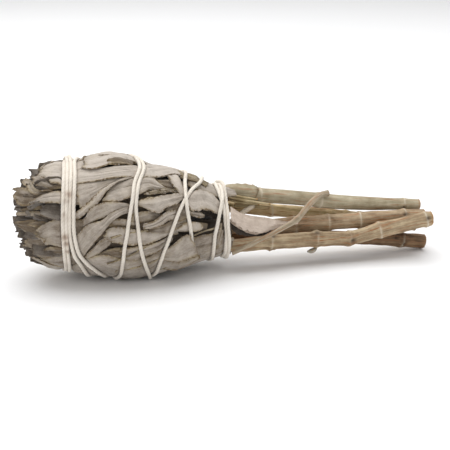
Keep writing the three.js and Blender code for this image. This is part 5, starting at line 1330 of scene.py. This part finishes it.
def add_strand(bm, layers, points, radius, around=12):
    """A three-ply twisted strand through the points: a sheet rolled up whose seams follow the twist."""
    path = even_path(points)
    last = len(path) - 1
    made = bmesh.ops.create_grid(bm, x_segments=last + 2, y_segments=around, size=1)["verts"]
    out = Vector((0, 0, 1))
    frames = []
    for i, point in enumerate(path):
        tangent = (path[min(i + 1, last)] - path[max(i - 1, 0)]).normalized()
        out = (out - tangent * out.dot(tangent)).normalized()
        frames.append((point, out.copy(), tangent.cross(out)))
    for vert in made:
        k = round((vert.co.x + 1) / 2 * (last + 2))
        i = min(max(k - 1, 0), last)
        point, out, across = frames[i]
        turn = math.pi * vert.co.y
        lobe = math.cos(3 * turn)
        full = radius * (0.98 + 0.05 * lobe + 0.05 * wander(i * 0.05, turn, 301))
        if k == 0 or k == last + 2:
            full = 0.0000001
        run = i * THREAD_STEP * 1000
        angle = turn + 2 * math.pi * run / PLY_PITCH
        vert.co = point + (out * math.cos(angle) + across * math.sin(angle)) * full
        # The groove layer marks where the colour takes painted shade between the plies.
        vert[layers["groove"]] = max(0.0, -lobe)
        vert[layers["grain"]] = Vector((math.cos(turn) * 1.5, math.sin(turn) * 1.5, run * 0.35))
    bmesh.ops.remove_doubles(bm, verts=made, dist=0.000005)


thread_points = [place_round(u, phi, rho) for u, phi, rho in zip(thread_us, thread_phis, thread_rhos)]
thread_bm = bmesh.new()
thread_layers = {name: thread_bm.verts.layers.float.new(name) for name in ("stain", "groove")}
thread_layers["grain"] = thread_bm.verts.layers.float_vector.new("grain")
add_strand(thread_bm, thread_layers, thread_points, THREAD_RADIUS * 0.001)

# The brown stains on the left band, as u, phi and size.
STAINS = [(15.6, 33, 1.4), (15.0, 26, 1.0), (15.4, -12, 1.5), (16.2, -20, 1.2), (17.0, -30, 0.9),
          (14.3, 12, 0.7)]
for vert in thread_bm.verts:
    for u, phi, size in STAINS:
        near = (vert.co - place_round(u, phi, outline(u))).length * 1000 / size
        if near < 2:
            vert[thread_layers["stain"]] = max(vert[thread_layers["stain"]], math.exp(-near * near * 1.2))

# The knot and its two tails, at the back of the right band.
KNOT_SIZE = 0.42
KNOT_TURN = 1.9
KNOT_POINTS = 60
KNOT_PULLED_RADIUS = 0.00055
TAIL_RADIUS = 0.00060


def knot_point(k):
    """Point k round an overhand knot."""
    s = 2 * math.pi * k / KNOT_POINTS
    x, y, z = math.sin(s) + 2 * math.sin(2 * s), math.cos(s) - 2 * math.cos(2 * s), -math.sin(3 * s)
    u, phi = thread_us[0] + 0.6 + x * KNOT_SIZE, thread_phis[0] + y * KNOT_TURN
    return place_round(u, phi, thread_rhos[0] + 1.0 + z * KNOT_SIZE)


def tail_point(turn, reach, t):
    """The point at share t of a tail that lies on the leaves."""
    u, phi, rho = thread_us[0], thread_phis[0], thread_rhos[0]
    at_u, at_phi = u + 0.8 + reach * t, phi + turn * t
    free = max(surface_rho(leaf_tree, at_u, at_phi), surface_rho(hard_tree, at_u, at_phi)) + 0.75
    return place_round(at_u, at_phi, max(mix(rho + 0.9, rho, t), free))


add_strand(thread_bm, thread_layers, [knot_point(k) for k in range(KNOT_POINTS + 1)], KNOT_PULLED_RADIUS)
for turn, reach in ((-34, 5), (30, 6.5)):
    tail = [tail_point(turn, reach, t) for t in (0, 0.25, 0.5, 0.75, 1)]
    add_strand(thread_bm, thread_layers, tail, TAIL_RADIUS)
bmesh.ops.recalc_face_normals(thread_bm, faces=thread_bm.faces)
finish_piece(thread_bm, "thread_strand", cotton_material(), ["thread"], sharp=80)

for piece in leaf_pieces + [leaf_over_thread]:
    piece.data.attributes.remove(piece.data.attributes["station"])
